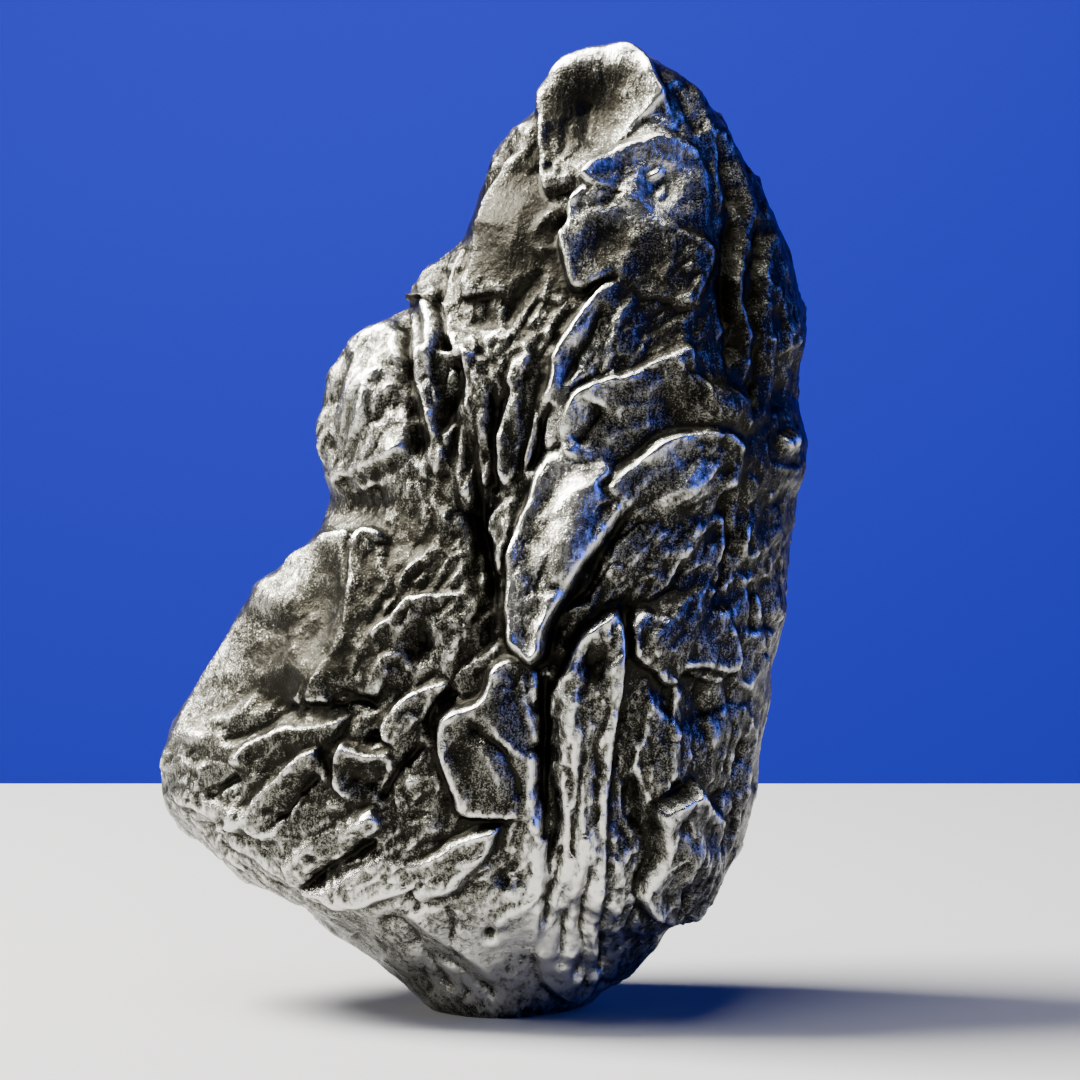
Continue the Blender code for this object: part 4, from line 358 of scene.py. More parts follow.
# The upright folds and knobs of the right flank.
RIGHT_FLANK = [
    ("ridge", 0.38, 0.35, [(699, 94), (705, 120), (712, 150), (715, 180), (720, 212)]),
    ("ridge", 0.38, 0.35, [(722, 128), (735, 155), (746, 190), (750, 220), (745, 250), (738, 280),
        (742, 310), (748, 332), (745, 360), (740, 386)]),
    ("groove", 1.17, 0.4, [(712, 130), (725, 165), (733, 205), (730, 240), (726, 275), (728, 310),
        (730, 345), (728, 372)]),
    ("ridge", 0.38, 0.35, [(765, 190), (775, 215), (770, 250), (765, 281), (768, 310), (772, 341),
        (768, 371), (764, 401), (755, 431)]),
    ("groove", 1.04, 0.4, [(757, 210), (757, 250), (752, 290), (758, 330), (756, 370), (750, 410)]),
    ("ridge", 0.3, 0.3, [(785, 250), (783, 290), (788, 322), (786, 350)]),
    ("ledge", 0.27, 0.6, [(778, 352), (790, 344), (802, 337)]),
    ("groove", 0.78, 0.35, [(778, 300), (780, 340), (778, 380), (772, 410)]),
    ("ledge", 0.32, 0.8, [(801, 460), (788, 462), (772, 458), (768, 440), (772, 420)]),
    ("ridge", 0.26, 0.3, [(756, 458), (768, 470), (784, 476), (796, 474)]),
    ("ridge", 0.26, 0.3, [(752, 470), (760, 486), (772, 494)]),
    ("ledge", 0.32, 0.7, [(741, 512), (743, 540), (747, 555), (760, 549), (771, 540), (778, 520)]),
    ("ridge", 0.26, 0.25, [(742, 556), (756, 552), (768, 543)]),
    ("ridge", 0.38, 0.3, [(740, 566), (745, 579), (748, 600), (747, 625), (745, 642)]),
    ("ridge", 0.38, 0.3, [(757, 588), (759, 612), (760, 635), (764, 651)]),
    ("groove", 0.91, 0.35, [(752, 575), (754, 600), (754, 630)]),
    ("groove", 0.91, 0.35, [(766, 570), (768, 600), (772, 630)]),
    ("ridge", 0.3, 0.3, [(784, 566), (776, 580), (778, 600), (782, 620)]),
    ("ridge", 0.45, 0.4, [(768, 652), (759, 662), (751, 673), (742, 687)]),
    ("ridge", 0.3, 0.3, [(742, 700), (750, 717), (762, 728)]),
    ("ridge", 0.38, 0.4, [(766, 712), (759, 740), (753, 770), (747, 800), (738, 832), (727, 858),
        (712, 885)]),
    ("groove", 0.91, 0.35, [(745, 730), (742, 760), (735, 785), (722, 800), (720, 830), (716, 858)]),
]

# The striped column below the tongue and the raised plate at its left.
COLUMN_AND_PLATE = [
    ("ridge", 0.3, 0.25, [(552, 628), (560, 617), (571, 607), (585, 601), (600, 601), (612, 594),
        (625, 590)]),
    ("ledge", 0.45, 1.4, [(616, 612), (607, 606), (600, 609), (590, 617), (581, 629), (574, 642),
        (568, 660), (560, 676)]),
    ("ridge", 0.26, 0.25, [(574, 643), (580, 629), (590, 616), (600, 609), (607, 605), (616, 613)]),
    ("ledge", 0.63, 1.6, [(590, 960), (598, 930), (602, 900), (607, 870), (606, 840), (608, 800),
        (610, 760), (614, 720), (619, 690), (621, 655), (621, 612)]),
    ("ridge", 0.3, 0.3, [(618, 612), (617, 655), (614, 690), (606, 725), (602, 770), (600, 820), (603, 860),
        (596, 905), (590, 950)]),
    ("ridge", 0.26, 0.28, [(598, 700), (590, 735), (582, 775), (580, 815), (588, 845), (592, 865)]),
    ("ridge", 0.26, 0.28, [(575, 672), (572, 705), (567, 740), (563, 780), (566, 820), (568, 860),
        (562, 900)]),
    ("groove", 0.59, 0.28, [(604, 735), (598, 770), (596, 810), (598, 840)]),
    ("groove", 0.65, 0.3, [(588, 740), (580, 770), (576, 800), (572, 830), (574, 860)]),
    ("groove", 0.65, 0.3, [(594, 860), (588, 885), (584, 910), (583, 945), (572, 975)]),
    ("groove", 0.78, 0.35, [(557, 690), (553, 730), (552, 770), (556, 810), (552, 850), (548, 880)]),
    ("groove", 0.65, 0.3, [(562, 840), (558, 870), (550, 900), (542, 930)]),
    ("groove", 0.52, 0.3, [(575, 900), (566, 930), (558, 965)]),
    ("groove", 0.78, 0.35, [(602, 900), (600, 930), (601, 960), (601, 975)]),
    ("groove", 1.43, 0.45, [(545, 668), (544, 700), (545, 740), (544, 780), (545, 820), (546, 845)]),
    # the raised plate left of the column
    ("ledge", 0.59, 1.6, [(522, 655), (506, 656), (496, 662), (490, 675), (483, 689), (474, 699),
        (463, 703), (450, 710), (440, 722), (438, 742), (443, 765), (448, 781), (455, 796), (461, 812),
        (480, 816), (500, 816), (518, 815)]),
    ("ridge", 0.3, 0.3, [(518, 656), (505, 657), (495, 663), (489, 676), (482, 690), (473, 700), (463, 705),
        (450, 712), (441, 723), (440, 742)]),
    ("ridge", 0.3, 0.28, [(443, 744), (458, 740), (473, 742), (485, 748), (493, 761), (498, 776),
        (501, 800)]),
    ("ridge", 0.34, 0.3, [(477, 704), (490, 718), (504, 735), (515, 746), (528, 756)]),
    ("ridge", 0.22, 0.25, [(486, 752), (492, 770), (495, 795)]),
    ("groove", 0.65, 0.3, [(470, 712), (480, 728), (495, 738), (508, 752), (516, 775), (518, 800)]),
    ("ridge", 0.26, 0.3, [(522, 668), (526, 700), (534, 730), (540, 744)]),
    ("ridge", 0.41, 0.6, [(531, 745), (531, 780), (532, 812), (536, 838)]),
    ("ridge", 0.3, 0.3, [(538, 834), (532, 843), (522, 846)]),
]

# The slotted lip, the recess and the blunt toe at the lower right.
LOWER_RIGHT = [
    ("ledge", 0.41, 0.8, [(680, 667), (690, 672), (703, 676), (716, 677), (728, 672)]),
    ("ridge", 0.38, 0.3, [(681, 657), (690, 662), (701, 666), (715, 671), (727, 672)]),
    ("ridge", 0.3, 0.3, [(655, 668), (661, 677), (668, 682), (676, 675)]),
    ("ridge", 0.26, 0.3, [(647, 694), (657, 700), (668, 698)]),
    ("ridge", 0.34, 0.3, [(704, 713), (711, 726), (709, 743), (697, 753)]),
    ("ledge", 0.27, 0.9, [(678, 725), (678, 745), (671, 762), (665, 780), (662, 796)]),
    ("ridge", 0.26, 0.3, [(678, 725), (678, 745), (671, 762), (665, 780)]),
    ("ridge", 0.26, 0.3, [(645, 735), (637, 750), (638, 770), (645, 785)]),
    ("ridge", 0.3, 0.3, [(720, 748), (706, 762), (700, 780)]),
    ("groove", 1.3, 0.5, [(625, 690), (618, 730), (616, 770), (614, 810), (613, 840)]),
    ("groove", 0.91, 0.5, [(636, 770), (640, 800), (645, 828), (652, 850), (645, 880), (640, 905)]),
    ("ridge", 0.3, 0.25, [(623, 778), (626, 800), (630, 825), (638, 838)]),
    ("ledge", 0.45, 1.2, [(690, 778), (680, 790), (665, 798), (654, 806), (656, 830), (658, 850),
        (648, 878), (641, 895), (645, 907), (656, 914), (676, 917), (692, 914), (704, 905)]),
    ("ridge", 0.38, 0.4, [(641, 893), (646, 905), (657, 912), (676, 915), (691, 912), (702, 903)]),
    ("ridge", 0.34, 0.35, [(690, 779), (681, 790), (667, 797), (655, 806)]),
    ("ridge", 0.22, 0.3, [(684, 836), (682, 860), (683, 885), (686, 900)]),
    ("ridge", 0.22, 0.25, [(656, 862), (662, 875), (668, 890)]),
    ("ridge", 0.26, 0.3, [(612, 850), (622, 870), (625, 895), (618, 920), (622, 945)]),
    ("ridge", 0.26, 0.3, [(640, 855), (632, 880), (636, 910), (645, 930)]),
]

# The broad wing at the lower left, crossed by slanting ridges.
WING_CREST = [(378, 525), (366, 530), (358, 545), (353, 565), (349, 585), (345, 601), (341, 616),
        (337, 636), (333, 649), (324, 661), (315, 679), (305, 696)]
WING_STEP = [(450, 677), (436, 680), (415, 688), (400, 697), (390, 709), (383, 720)]
LOWER_CREST = [(318, 745), (303, 750), (291, 761), (280, 772), (266, 785), (255, 797), (245, 808)]
WING = [
    ("ridge", 0.41, 0.7, [(322, 528), (305, 551), (285, 572), (264, 596), (243, 622), (223, 652),
        (207, 677), (190, 704), (173, 734), (165, 762), (168, 785)]),
    ("ledge", 0.27, 1.0, [(360, 531), (341, 529), (328, 528)]),
    ("ledge", 0.32, 1.0, WING_CREST),
    ("ridge", 0.26, 0.28, WING_CREST),
    ("ridge", 0.3, 0.3, [(364, 531), (375, 526), (386, 531), (388, 541)]),
    ("ridge", 0.26, 0.25, [(381, 545), (384, 560), (388, 578), (393, 590)]),
    ("ridge", 0.26, 0.28, [(371, 596), (358, 606), (347, 614), (340, 622)]),
    ("ridge", 0.22, 0.22, [(391, 600), (382, 612), (374, 623)]),
    ("ridge", 0.22, 0.25, [(335, 660), (327, 676), (320, 690)]),
    ("ridge", 0.22, 0.25, [(368, 640), (362, 660), (362, 682)]),
    ("ridge", 0.19, 0.22, [(343, 650), (338, 668), (336, 684)]),
    ("ridge", 0.3, 0.28, [(381, 692), (388, 676), (393, 659), (402, 653), (408, 660), (413, 670)]),
    ("ridge", 0.34, 0.3, [(430, 555), (417, 562), (405, 572), (397, 583), (389, 590)]),
    ("ledge", 0.41, 1.1, [(448, 590), (436, 590), (424, 592), (411, 595), (402, 602), (391, 612),
        (378, 623), (370, 634)]),
    ("ridge", 0.38, 0.32, [(444, 590), (425, 592), (411, 595), (402, 602), (391, 612), (378, 623)]),
    ("ridge", 0.22, 0.22, [(447, 617), (437, 626), (433, 640), (432, 656)]),
    ("ledge", 0.32, 0.9, [(447, 678), (452, 668), (456, 655), (460, 642), (468, 629), (474, 612),
        (478, 595)]),
    ("ridge", 0.3, 0.28, [(474, 611), (468, 629), (459, 643), (455, 658), (451, 670), (447, 678)]),
    ("ridge", 0.26, 0.28, [(448, 612), (453, 622), (462, 620)]),
    ("ledge", 0.36, 0.9, WING_STEP),
    ("ridge", 0.34, 0.3, WING_STEP),
    ("ridge", 0.41, 0.4, [(418, 720), (404, 735), (390, 746), (375, 752), (362, 749), (352, 741),
        (343, 741), (337, 752), (333, 766)]),
    ("ledge", 0.36, 1.0, [(415, 722), (404, 735), (390, 746), (375, 752), (362, 749), (352, 741),
        (343, 741), (337, 752), (332, 766), (332, 780), (340, 790), (352, 800)]),
    ("ridge", 0.22, 0.25, [(412, 708), (400, 720), (386, 724)]),
    ("ridge", 0.3, 0.3, [(300, 640), (290, 652), (282, 666), (270, 681), (258, 692)]),
    ("ridge", 0.26, 0.28, [(268, 663), (257, 681), (250, 696), (242, 710), (225, 717), (205, 716)]),
    ("ridge", 0.3, 0.28, [(316, 610), (306, 620), (298, 630), (284, 632)]),
    ("ridge", 0.22, 0.25, [(311, 655), (305, 666), (290, 667)]),
    ("ridge", 0.22, 0.25, [(262, 632), (250, 642), (236, 650)]),
    ("ridge", 0.34, 0.3, [(233, 740), (220, 745), (212, 755), (205, 765), (199, 776)]),
    ("ridge", 0.26, 0.28, [(240, 757), (228, 765), (214, 771)]),
    ("ridge", 0.38, 0.32, [(347, 714), (335, 720), (318, 724), (303, 729), (286, 722), (270, 730),
        (255, 738), (243, 746), (234, 757)]),
    ("ledge", 0.27, 0.9, [(303, 729), (286, 722), (270, 730), (255, 738), (243, 746), (234, 757),
        (222, 768)]),
    ("ridge", 0.22, 0.25, [(303, 730), (297, 739), (284, 742), (268, 748)]),
    ("ridge", 0.26, 0.28, [(330, 722), (315, 735), (300, 742)]),
    ("ridge", 0.41, 0.35, LOWER_CREST),
    ("ledge", 0.32, 1.0, LOWER_CREST),
    ("ridge", 0.22, 0.25, [(265, 770), (248, 778), (232, 786), (218, 795)]),
    ("ridge", 0.3, 0.3, [(186, 790), (195, 796), (205, 804)]),
    ("ridge", 0.3, 0.35, [(262, 806), (255, 817), (248, 829), (240, 838)]),
    ("ridge", 0.3, 0.4, [(228, 803), (224, 815), (230, 828)]),
    ("ridge", 0.22, 0.3, [(300, 790), (292, 806), (288, 822)]),
    ("ridge", 0.22, 0.25, [(325, 797), (335, 806), (345, 808)]),
    ("ridge", 0.22, 0.25, [(282, 835), (270, 850), (262, 860)]),
    ("ridge", 0.41, 0.35, [(370, 806), (358, 812), (345, 822), (330, 828), (315, 834), (300, 845),
        (289, 854), (283, 864)]),
    ("ridge", 0.3, 0.3, [(345, 842), (330, 850), (316, 858), (305, 868), (298, 878)]),
    ("ledge", 0.36, 0.9, [(365, 812), (350, 824), (330, 832), (312, 840), (298, 850), (286, 862)]),
    ("groove", 1.17, 0.4, [(378, 838), (360, 850), (342, 860), (325, 870), (308, 880)]),
    ("ridge", 0.22, 0.25, [(390, 815), (378, 826), (365, 838)]),
    ("ridge", 0.22, 0.25, [(405, 796), (392, 800)]),
    ("ridge", 0.34, 0.3, [(440, 830), (430, 829), (419, 836), (409, 846), (400, 855)]),
    ("ridge", 0.41, 0.35, [(500, 823), (485, 828), (466, 833), (450, 840), (440, 850), (425, 858),
        (410, 862)]),
    ("ledge", 0.36, 1.0, [(500, 823), (485, 828), (466, 833), (450, 840), (440, 850), (425, 858),
        (410, 862), (395, 858), (375, 860), (360, 864)]),
    ("ridge", 0.3, 0.3, [(410, 853), (395, 857), (378, 859), (362, 864)]),
    ("ridge", 0.38, 0.35, [(486, 850), (475, 858), (462, 863), (450, 871), (441, 881), (435, 892)]),
    ("ridge", 0.3, 0.3, [(530, 868), (518, 872), (505, 880)]),
    ("ridge", 0.26, 0.25, [(440, 778), (425, 778), (405, 782)]),
    ("ridge", 0.22, 0.25, [(408, 766), (395, 769), (384, 766)]),
    ("groove", 0.91, 0.4, [(330, 700), (345, 692), (362, 694), (378, 706)]),
    ("groove", 0.91, 0.5, [(425, 735), (410, 755), (395, 772), (385, 790), (375, 800)]),
    ("groove", 0.91, 0.45, [(300, 700), (280, 710), (260, 722), (240, 730), (222, 738)]),
    ("groove", 0.91, 0.45, [(320, 770), (305, 785), (292, 800), (280, 820)]),
    ("groove", 0.78, 0.4, [(240, 775), (222, 785), (205, 796)]),
    ("groove", 1.04, 0.45, [(462, 690), (445, 695), (428, 712), (430, 740)]),
]

# The rolled edge under the wing and the pitted slope below it.
UNDERSIDE = [
    ("ledge", 0.45, 1.4, [(166, 786), (180, 800), (197, 808), (212, 818), (222, 832), (238, 846),
        (258, 860), (280, 874), (300, 888), (320, 896), (342, 902), (362, 904), (380, 899), (396, 893),
        (408, 890)]),
    ("ridge", 0.52, 0.45, [(303, 885), (318, 893), (338, 898), (360, 901), (378, 897), (395, 890),
        (408, 885)]),
    ("ledge", 0.27, 1.0, [(408, 890), (420, 900), (438, 895), (452, 893), (466, 884)]),
    ("ridge", 0.26, 0.4, [(405, 905), (425, 928), (448, 945), (475, 962), (500, 985)]),
    ("groove", 0.65, 0.35, [(375, 925), (395, 922), (410, 932), (425, 955), (440, 978), (455, 995)]),
    ("groove", 0.59, 0.3, [(400, 945), (420, 945), (440, 962), (462, 972), (482, 985), (498, 1003)]),
    ("groove", 0.52, 0.3, [(446, 903), (452, 925), (450, 945), (462, 965)]),
    ("groove", 0.45, 0.3, [(350, 935), (362, 947), (378, 965)]),
    ("groove", 0.45, 0.25, [(425, 960), (422, 978), (432, 995)]),
    ("groove", 0.45, 0.25, [(462, 970), (460, 985), (470, 998)]),
    ("groove", 0.39, 0.25, [(200, 825), (215, 835), (228, 855)]),
    ("groove", 0.39, 0.25, [(245, 868), (268, 880), (285, 893)]),
    ("groove", 1.04, 0.4, [(404, 893), (412, 900), (416, 912)]),
    ("ledge", 0.27, 0.9, [(540, 893), (520, 905), (500, 913), (496, 930)]),
    ("ridge", 0.22, 0.4, [(540, 900), (538, 930), (536, 960)]),
]

# Round forms: form, height mm, half width mm, half height mm, place on the map, lean in degrees.
ROUND_FORMS = [
    ("dish", 0.9, 3.6, 3.8, (598, 112), -8),
    ("dish", 0.5, 2.2, 1.6, (625, 170), 20),
    ("dish", 0.6, 1.6, 1.6, (658, 182), 0),
    ("lump", 0.4, 0.8, 0.45, (655, 174), 20),
    ("lump", 0.3, 0.4, 0.7, (661, 190), -30),
    ("dish", 0.3, 3.0, 2.2, (650, 268), -25),
    ("dish", 0.4, 2.2, 2.0, (605, 240), -10),
    ("dish", 0.5, 2.4, 1.4, (488, 318), 10),
    ("dish", 0.2, 2.6, 1.8, (655, 322), 20),
    ("dish", 0.4, 1.3, 1.6, (665, 400), 0),
    ("lump", 1.1, 2.3, 2.6, (714, 405), 0),
    ("lump", 0.9, 3.0, 1.9, (688, 484), 20),
    ("lump", 1.0, 2.5, 5.2, (360, 392), -12),
    ("lump", 0.8, 1.0, 3.4, (430, 312), 0),
    ("dish", 0.7, 2.8, 1.4, (362, 502), 10),
    ("lump", 0.7, 0.9, 0.9, (787, 438), 0),
    ("lump", 0.3, 0.4, 0.4, (530, 320), 0),
    ("lump", 0.3, 0.4, 0.4, (548, 330), 0),
    ("lump", 0.6, 2.2, 2.2, (280, 596), 0),
    ("dish", 0.6, 1.6, 4.5, (325, 610), -12),
    ("dish", 0.6, 2.6, 1.5, (278, 690), 10),
    ("lump", 0.4, 1.3, 0.9, (197, 735), 0),
    ("dish", 0.8, 0.8, 0.7, (373, 735), 0),
    ("dish", 0.7, 1.8, 1.6, (365, 775), 0),
    ("lump", 0.5, 1.0, 1.1, (236, 815), 0),
    ("dish", 0.9, 1.2, 3.5, (632, 800), -5),
    ("lump", 0.9, 2.2, 3.4, (686, 862), 0),
    ("lump", 0.8, 3.4, 3.0, (660, 630), 0),
    ("dish", 0.6, 1.6, 2.6, (700, 700), 0),
    ("dish", 0.7, 1.6, 1.6, (512, 872), 0),
    ("dish", 0.6, 0.6, 0.6, (490, 935), 0),
    ("dish", 0.8, 1.5, 1.6, (420, 640), 0),
    ("dish", 0.7, 1.1, 1.8, (590, 655), 0),
    ("dish", 1.1, 1.7, 8.0, (484, 540), 6),
    ("lump", 0.9, 2.2, 7.0, (566, 545), -18),
    ("dish", 0.8, 1.4, 4.0, (455, 420), 14),
    ("lump", 0.7, 2.6, 4.6, (500, 750), 0),
    ("lump", 0.8, 3.0, 4.0, (520, 230), -30),
    ("lump", 0.6, 1.9, 9.0, (575, 780), 3),
]

# Slabs that stand out of the face: rise mm, slope to the right and upward in mm per mm, bevel mm,
# corners on the map. A later slab lies over an earlier one.
SLABS = [
    # crown and nose
    (0.35, -0.35, 0.06, 0.3, [(535, 125), (541, 150), (543, 188), (552, 200), (540, 225), (538, 248),
        (548, 262), (533, 273), (507, 290), (482, 293), (467, 297), (468, 280), (479, 251), (492, 226),
        (503, 186), (515, 158)]),
    (0.15, 0.0, 0.0, 0.3, [(468, 245), (466, 270), (464, 297), (480, 296), (500, 298), (502, 318),
        (480, 326), (461, 350), (452, 336), (447, 320), (447, 300), (451, 279), (460, 258)]),
    (0.3, -0.02, 0.06, 0.3, [(546, 78), (565, 63), (600, 54), (635, 60), (655, 82), (662, 100),
        (640, 118), (620, 138), (600, 150), (585, 170), (578, 183), (560, 186), (546, 188), (542, 150),
        (542, 110)]),
    (0.3, -0.1, 0.05, 0.3, [(583, 178), (590, 165), (606, 152), (625, 142), (656, 133), (680, 138),
        (700, 158), (708, 185), (706, 215), (690, 232), (668, 224), (648, 208), (630, 196), (610, 190),
        (595, 190)]),
    (0.5, -0.08, -0.05, 0.35, [(569, 222), (574, 202), (586, 188), (600, 188), (622, 193), (650, 212),
        (665, 222), (698, 236), (714, 248), (710, 268), (702, 288), (690, 302), (660, 295), (637, 292),
        (616, 270), (600, 280), (584, 287), (571, 284), (566, 262), (562, 238)]),
    # fingers of the middle
    (0.35, -0.2, 0.0, 0.25, [(464, 344), (487, 360), (484, 385), (478, 400), (474, 436), (478, 470),
        (470, 500), (462, 500), (458, 460), (458, 414), (464, 392)]),
    (0.4, -0.2, 0.0, 0.25, [(511, 358), (507, 376), (510, 392), (498, 432), (499, 465), (505, 482),
        (518, 470), (524, 440), (530, 412), (535, 390), (540, 368), (530, 350)]),
    (0.4, -0.2, 0.0, 0.25, [(484, 524), (488, 510), (500, 498), (515, 492), (526, 488), (520, 510),
        (508, 530), (500, 566), (492, 560), (490, 535)]),
    (0.25, -0.15, 0.0, 0.25, [(480, 326), (505, 322), (520, 335), (512, 358), (507, 376), (496, 400),
        (494, 440), (492, 470), (480, 480), (478, 440), (480, 400), (488, 362)]),
    (0.35, -0.15, 0.0, 0.25, [(545, 396), (552, 405), (548, 430), (552, 445), (540, 462), (530, 478),
        (526, 462), (529, 440), (535, 418)]),
    (0.2, -0.1, 0.0, 0.25, [(424, 262), (440, 258), (443, 285), (440, 320), (444, 340), (430, 345),
        (420, 330), (417, 300)]),
    (0.3, -0.1, 0.0, 0.25, [(460, 350), (455, 375), (460, 395), (456, 420), (444, 452), (436, 470),
        (428, 450), (430, 420), (420, 385), (418, 350), (435, 345)]),
    # centre
    (0.1, 0.0, 0.0, 0.3, [(633, 298), (660, 298), (684, 318), (688, 342), (668, 352), (640, 362),
        (612, 370), (604, 358), (616, 335), (624, 310)]),
    (0.3, -0.06, 0.1, 0.3, [(608, 373), (630, 369), (650, 358), (670, 350), (690, 343), (695, 365),
        (706, 379), (740, 395), (745, 412), (742, 432), (700, 425), (672, 430), (648, 440), (612, 468),
        (600, 455), (578, 458), (560, 438), (566, 405), (580, 385)]),
    (0.5, -0.1, 0.0, 0.35, [(620, 275), (636, 292), (626, 308), (616, 330), (606, 350), (592, 366),
        (578, 382), (568, 402), (562, 436), (548, 442), (545, 420), (543, 396), (550, 381), (554, 350),
        (570, 325), (582, 308), (600, 286)]),
    (0.4, -0.03, 0.08, 0.4, [(742, 434), (725, 429), (700, 426), (672, 430), (652, 440), (634, 456),
        (614, 474), (606, 490), (622, 502), (645, 514), (668, 519), (692, 518), (712, 508), (728, 488),
        (738, 464)]),
    (1.2, -0.08, -0.1, 0.4, [(556, 442), (565, 452), (582, 459), (604, 458), (612, 470), (600, 482),
        (622, 500), (612, 520), (598, 546), (585, 562), (572, 586), (551, 622), (546, 642), (539, 656),
        (530, 661), (518, 650), (508, 636), (507, 600), (509, 565), (514, 540), (529, 495), (540, 463)]),
    # right of the column
    (0.55, -0.05, -0.1, 0.3, [(720, 588), (700, 584), (680, 596), (668, 612), (640, 604), (628, 620),
        (632, 650), (650, 668), (668, 682), (690, 662), (728, 668), (735, 640), (728, 610)]),
    (0.25, 0.1, 0.05, 0.3, [(650, 700), (672, 716), (679, 730), (674, 755), (664, 780), (660, 797),
        (640, 790), (634, 765), (640, 738)]),
    (0.75, 0.0, 0.06, 0.35, [(690, 778), (678, 790), (655, 806), (657, 830), (659, 852), (648, 878),
        (641, 896), (650, 912), (676, 917), (700, 908), (714, 885), (718, 850), (722, 815), (706, 800)]),
    # column, and the raised slab left of it
    (0.4, 0.1, 0.03, 0.3, [(619, 604), (606, 608), (592, 618), (580, 633), (568, 655), (556, 680),
        (549, 700), (549, 760), (549, 830), (545, 880), (541, 930), (540, 975), (570, 1000), (592, 985),
        (600, 940), (604, 895), (608, 860), (606, 830), (609, 790), (613, 740), (619, 690), (622, 650)]),
    (0.6, -0.08, 0.05, 0.3, [(520, 655), (504, 656), (493, 664), (484, 687), (474, 700), (452, 709),
        (440, 722), (438, 744), (444, 766), (452, 790), (461, 813), (482, 817), (518, 816), (536, 836),
        (542, 830), (543, 760), (541, 700), (536, 668)]),
    # lobe on the left, and the wing
    (0.1, 0.12, 0.0, 0.6, [(398, 318), (375, 326), (352, 346), (335, 368), (324, 400), (320, 432),
        (330, 468), (335, 485), (356, 472), (380, 462), (404, 445), (406, 400), (402, 360)]),
    (0.15, 0.1, 0.0, 0.4, [(332, 534), (346, 531), (360, 532), (352, 562), (347, 596), (338, 636),
        (326, 660), (306, 696), (290, 700), (262, 690), (240, 700), (205, 716), (180, 725), (190, 700),
        (222, 652), (262, 598), (300, 556)]),
    (0.45, -0.15, 0.0, 0.25, [(378, 525), (366, 531), (357, 548), (350, 585), (338, 632), (322, 665),
        (308, 697), (330, 700), (362, 692), (380, 690), (392, 655), (372, 634), (392, 611), (398, 585),
        (388, 560), (387, 532)]),
    (0.35, -0.1, 0.1, 0.25, [(440, 590), (412, 594), (398, 606), (374, 632), (384, 660), (402, 652),
        (412, 668), (448, 676), (458, 645), (474, 612), (478, 596), (460, 588)]),
    (0.3, 0.0, 0.15, 0.25, [(343, 741), (337, 752), (332, 768), (335, 786), (350, 800), (370, 797),
        (388, 778), (392, 757), (375, 752), (358, 748)]),
    (0.4, 0.0, -0.1, 0.25, [(450, 677), (425, 684), (400, 697), (386, 714), (380, 735), (396, 742),
        (408, 730), (420, 716), (436, 700)]),
    (0.25, -0.05, 0.12, 0.25, [(347, 714), (318, 724), (290, 722), (262, 733), (240, 747), (232, 760),
        (262, 770), (300, 750), (330, 735)]),
    (0.3, -0.05, 0.12, 0.25, [(318, 745), (300, 751), (280, 772), (262, 788), (245, 808), (250, 830),
        (280, 836), (300, 800), (325, 775)]),
    (0.35, -0.05, 0.12, 0.25, [(370, 806), (345, 822), (312, 836), (285, 860), (300, 880), (325, 868),
        (350, 848), (380, 825)]),
    (0.4, 0.0, 0.04, 0.3, [(500, 823), (466, 833), (442, 848), (410, 862), (370, 860), (330, 880),
        (305, 886), (340, 898), (362, 901), (400, 890), (440, 892), (470, 870), (490, 850)]),
]

ZONES = [
    CROWN, UPPER_LEFT, LEFT_LOBE, MIDDLE_FOLDS, CENTRE, RIGHT_FLANK, COLUMN_AND_PLATE, LOWER_RIGHT, WING,
    UNDERSIDE,
]

# How far each form reaches, as a share of its width, and where it ends, in reaches.
LINE_REACH = {"ridge": 1.15, "groove": 1.0, "ledge": 0.8}
LINE_END = 6

# A form's blunt top in mm, how fast its pull falls off, and the share of its length where it tapers.
LINE_TOP = 0.15
LINE_FALL = -1.5
LINE_TAPER = 0.16

# A ledge's step: its half width in mm, and how far it dips on the low side, as a share of its height.
LEDGE_STEP = 0.17
LEDGE_DIP = 0.35

# The rounded part of a dish. The rest is a flat cone.
DISH_ROUND = 0.65

# How nearly flat a slab is, and the most that it cuts or fills to be so, in mm.
SLAB_FLATNESS = 0.85
SLAB_LEVELLING = 0.6

STEPS_PER_POINT = 4

# Added to a length that may be 0 before it divides.
TINY = 1e-12


def on_plane(points):
    """Map points as millimetres across and up, on the upright plane through the middle."""
    places = np.asarray(points, float)
    return np.stack([places[:, 0] - MAP_MIDDLE, MAP_FOOT - places[:, 1]], axis=1) * UNIT


def seen_on_map(points):
    """Where each point is seen, on the upright plane through the middle."""
    spread = SIGHT_POINT[1] / (SIGHT_POINT[1] - points[:, 1])
    return SIGHT_POINT[[0, 2]] + (points[:, [0, 2]] - SIGHT_POINT[[0, 2]]) * spread[:, None]


def curve_through(points):
    """A smooth line through the points, in short straight steps."""
    stops = np.vstack([2 * points[0] - points[1], points, 2 * points[-1] - points[-2]])
    line = []
    for a, b, c, d in zip(stops, stops[1:], stops[2:], stops[3:]):
        for t in np.arange(STEPS_PER_POINT) / STEPS_PER_POINT:
            bend = (2 * a - 5 * b + 4 * c - d) * t + (3 * b - a - 3 * c + d) * t * t
            line.append(b + 0.5 * t * (c - a + bend))
    return np.array(line + [points[-1]])


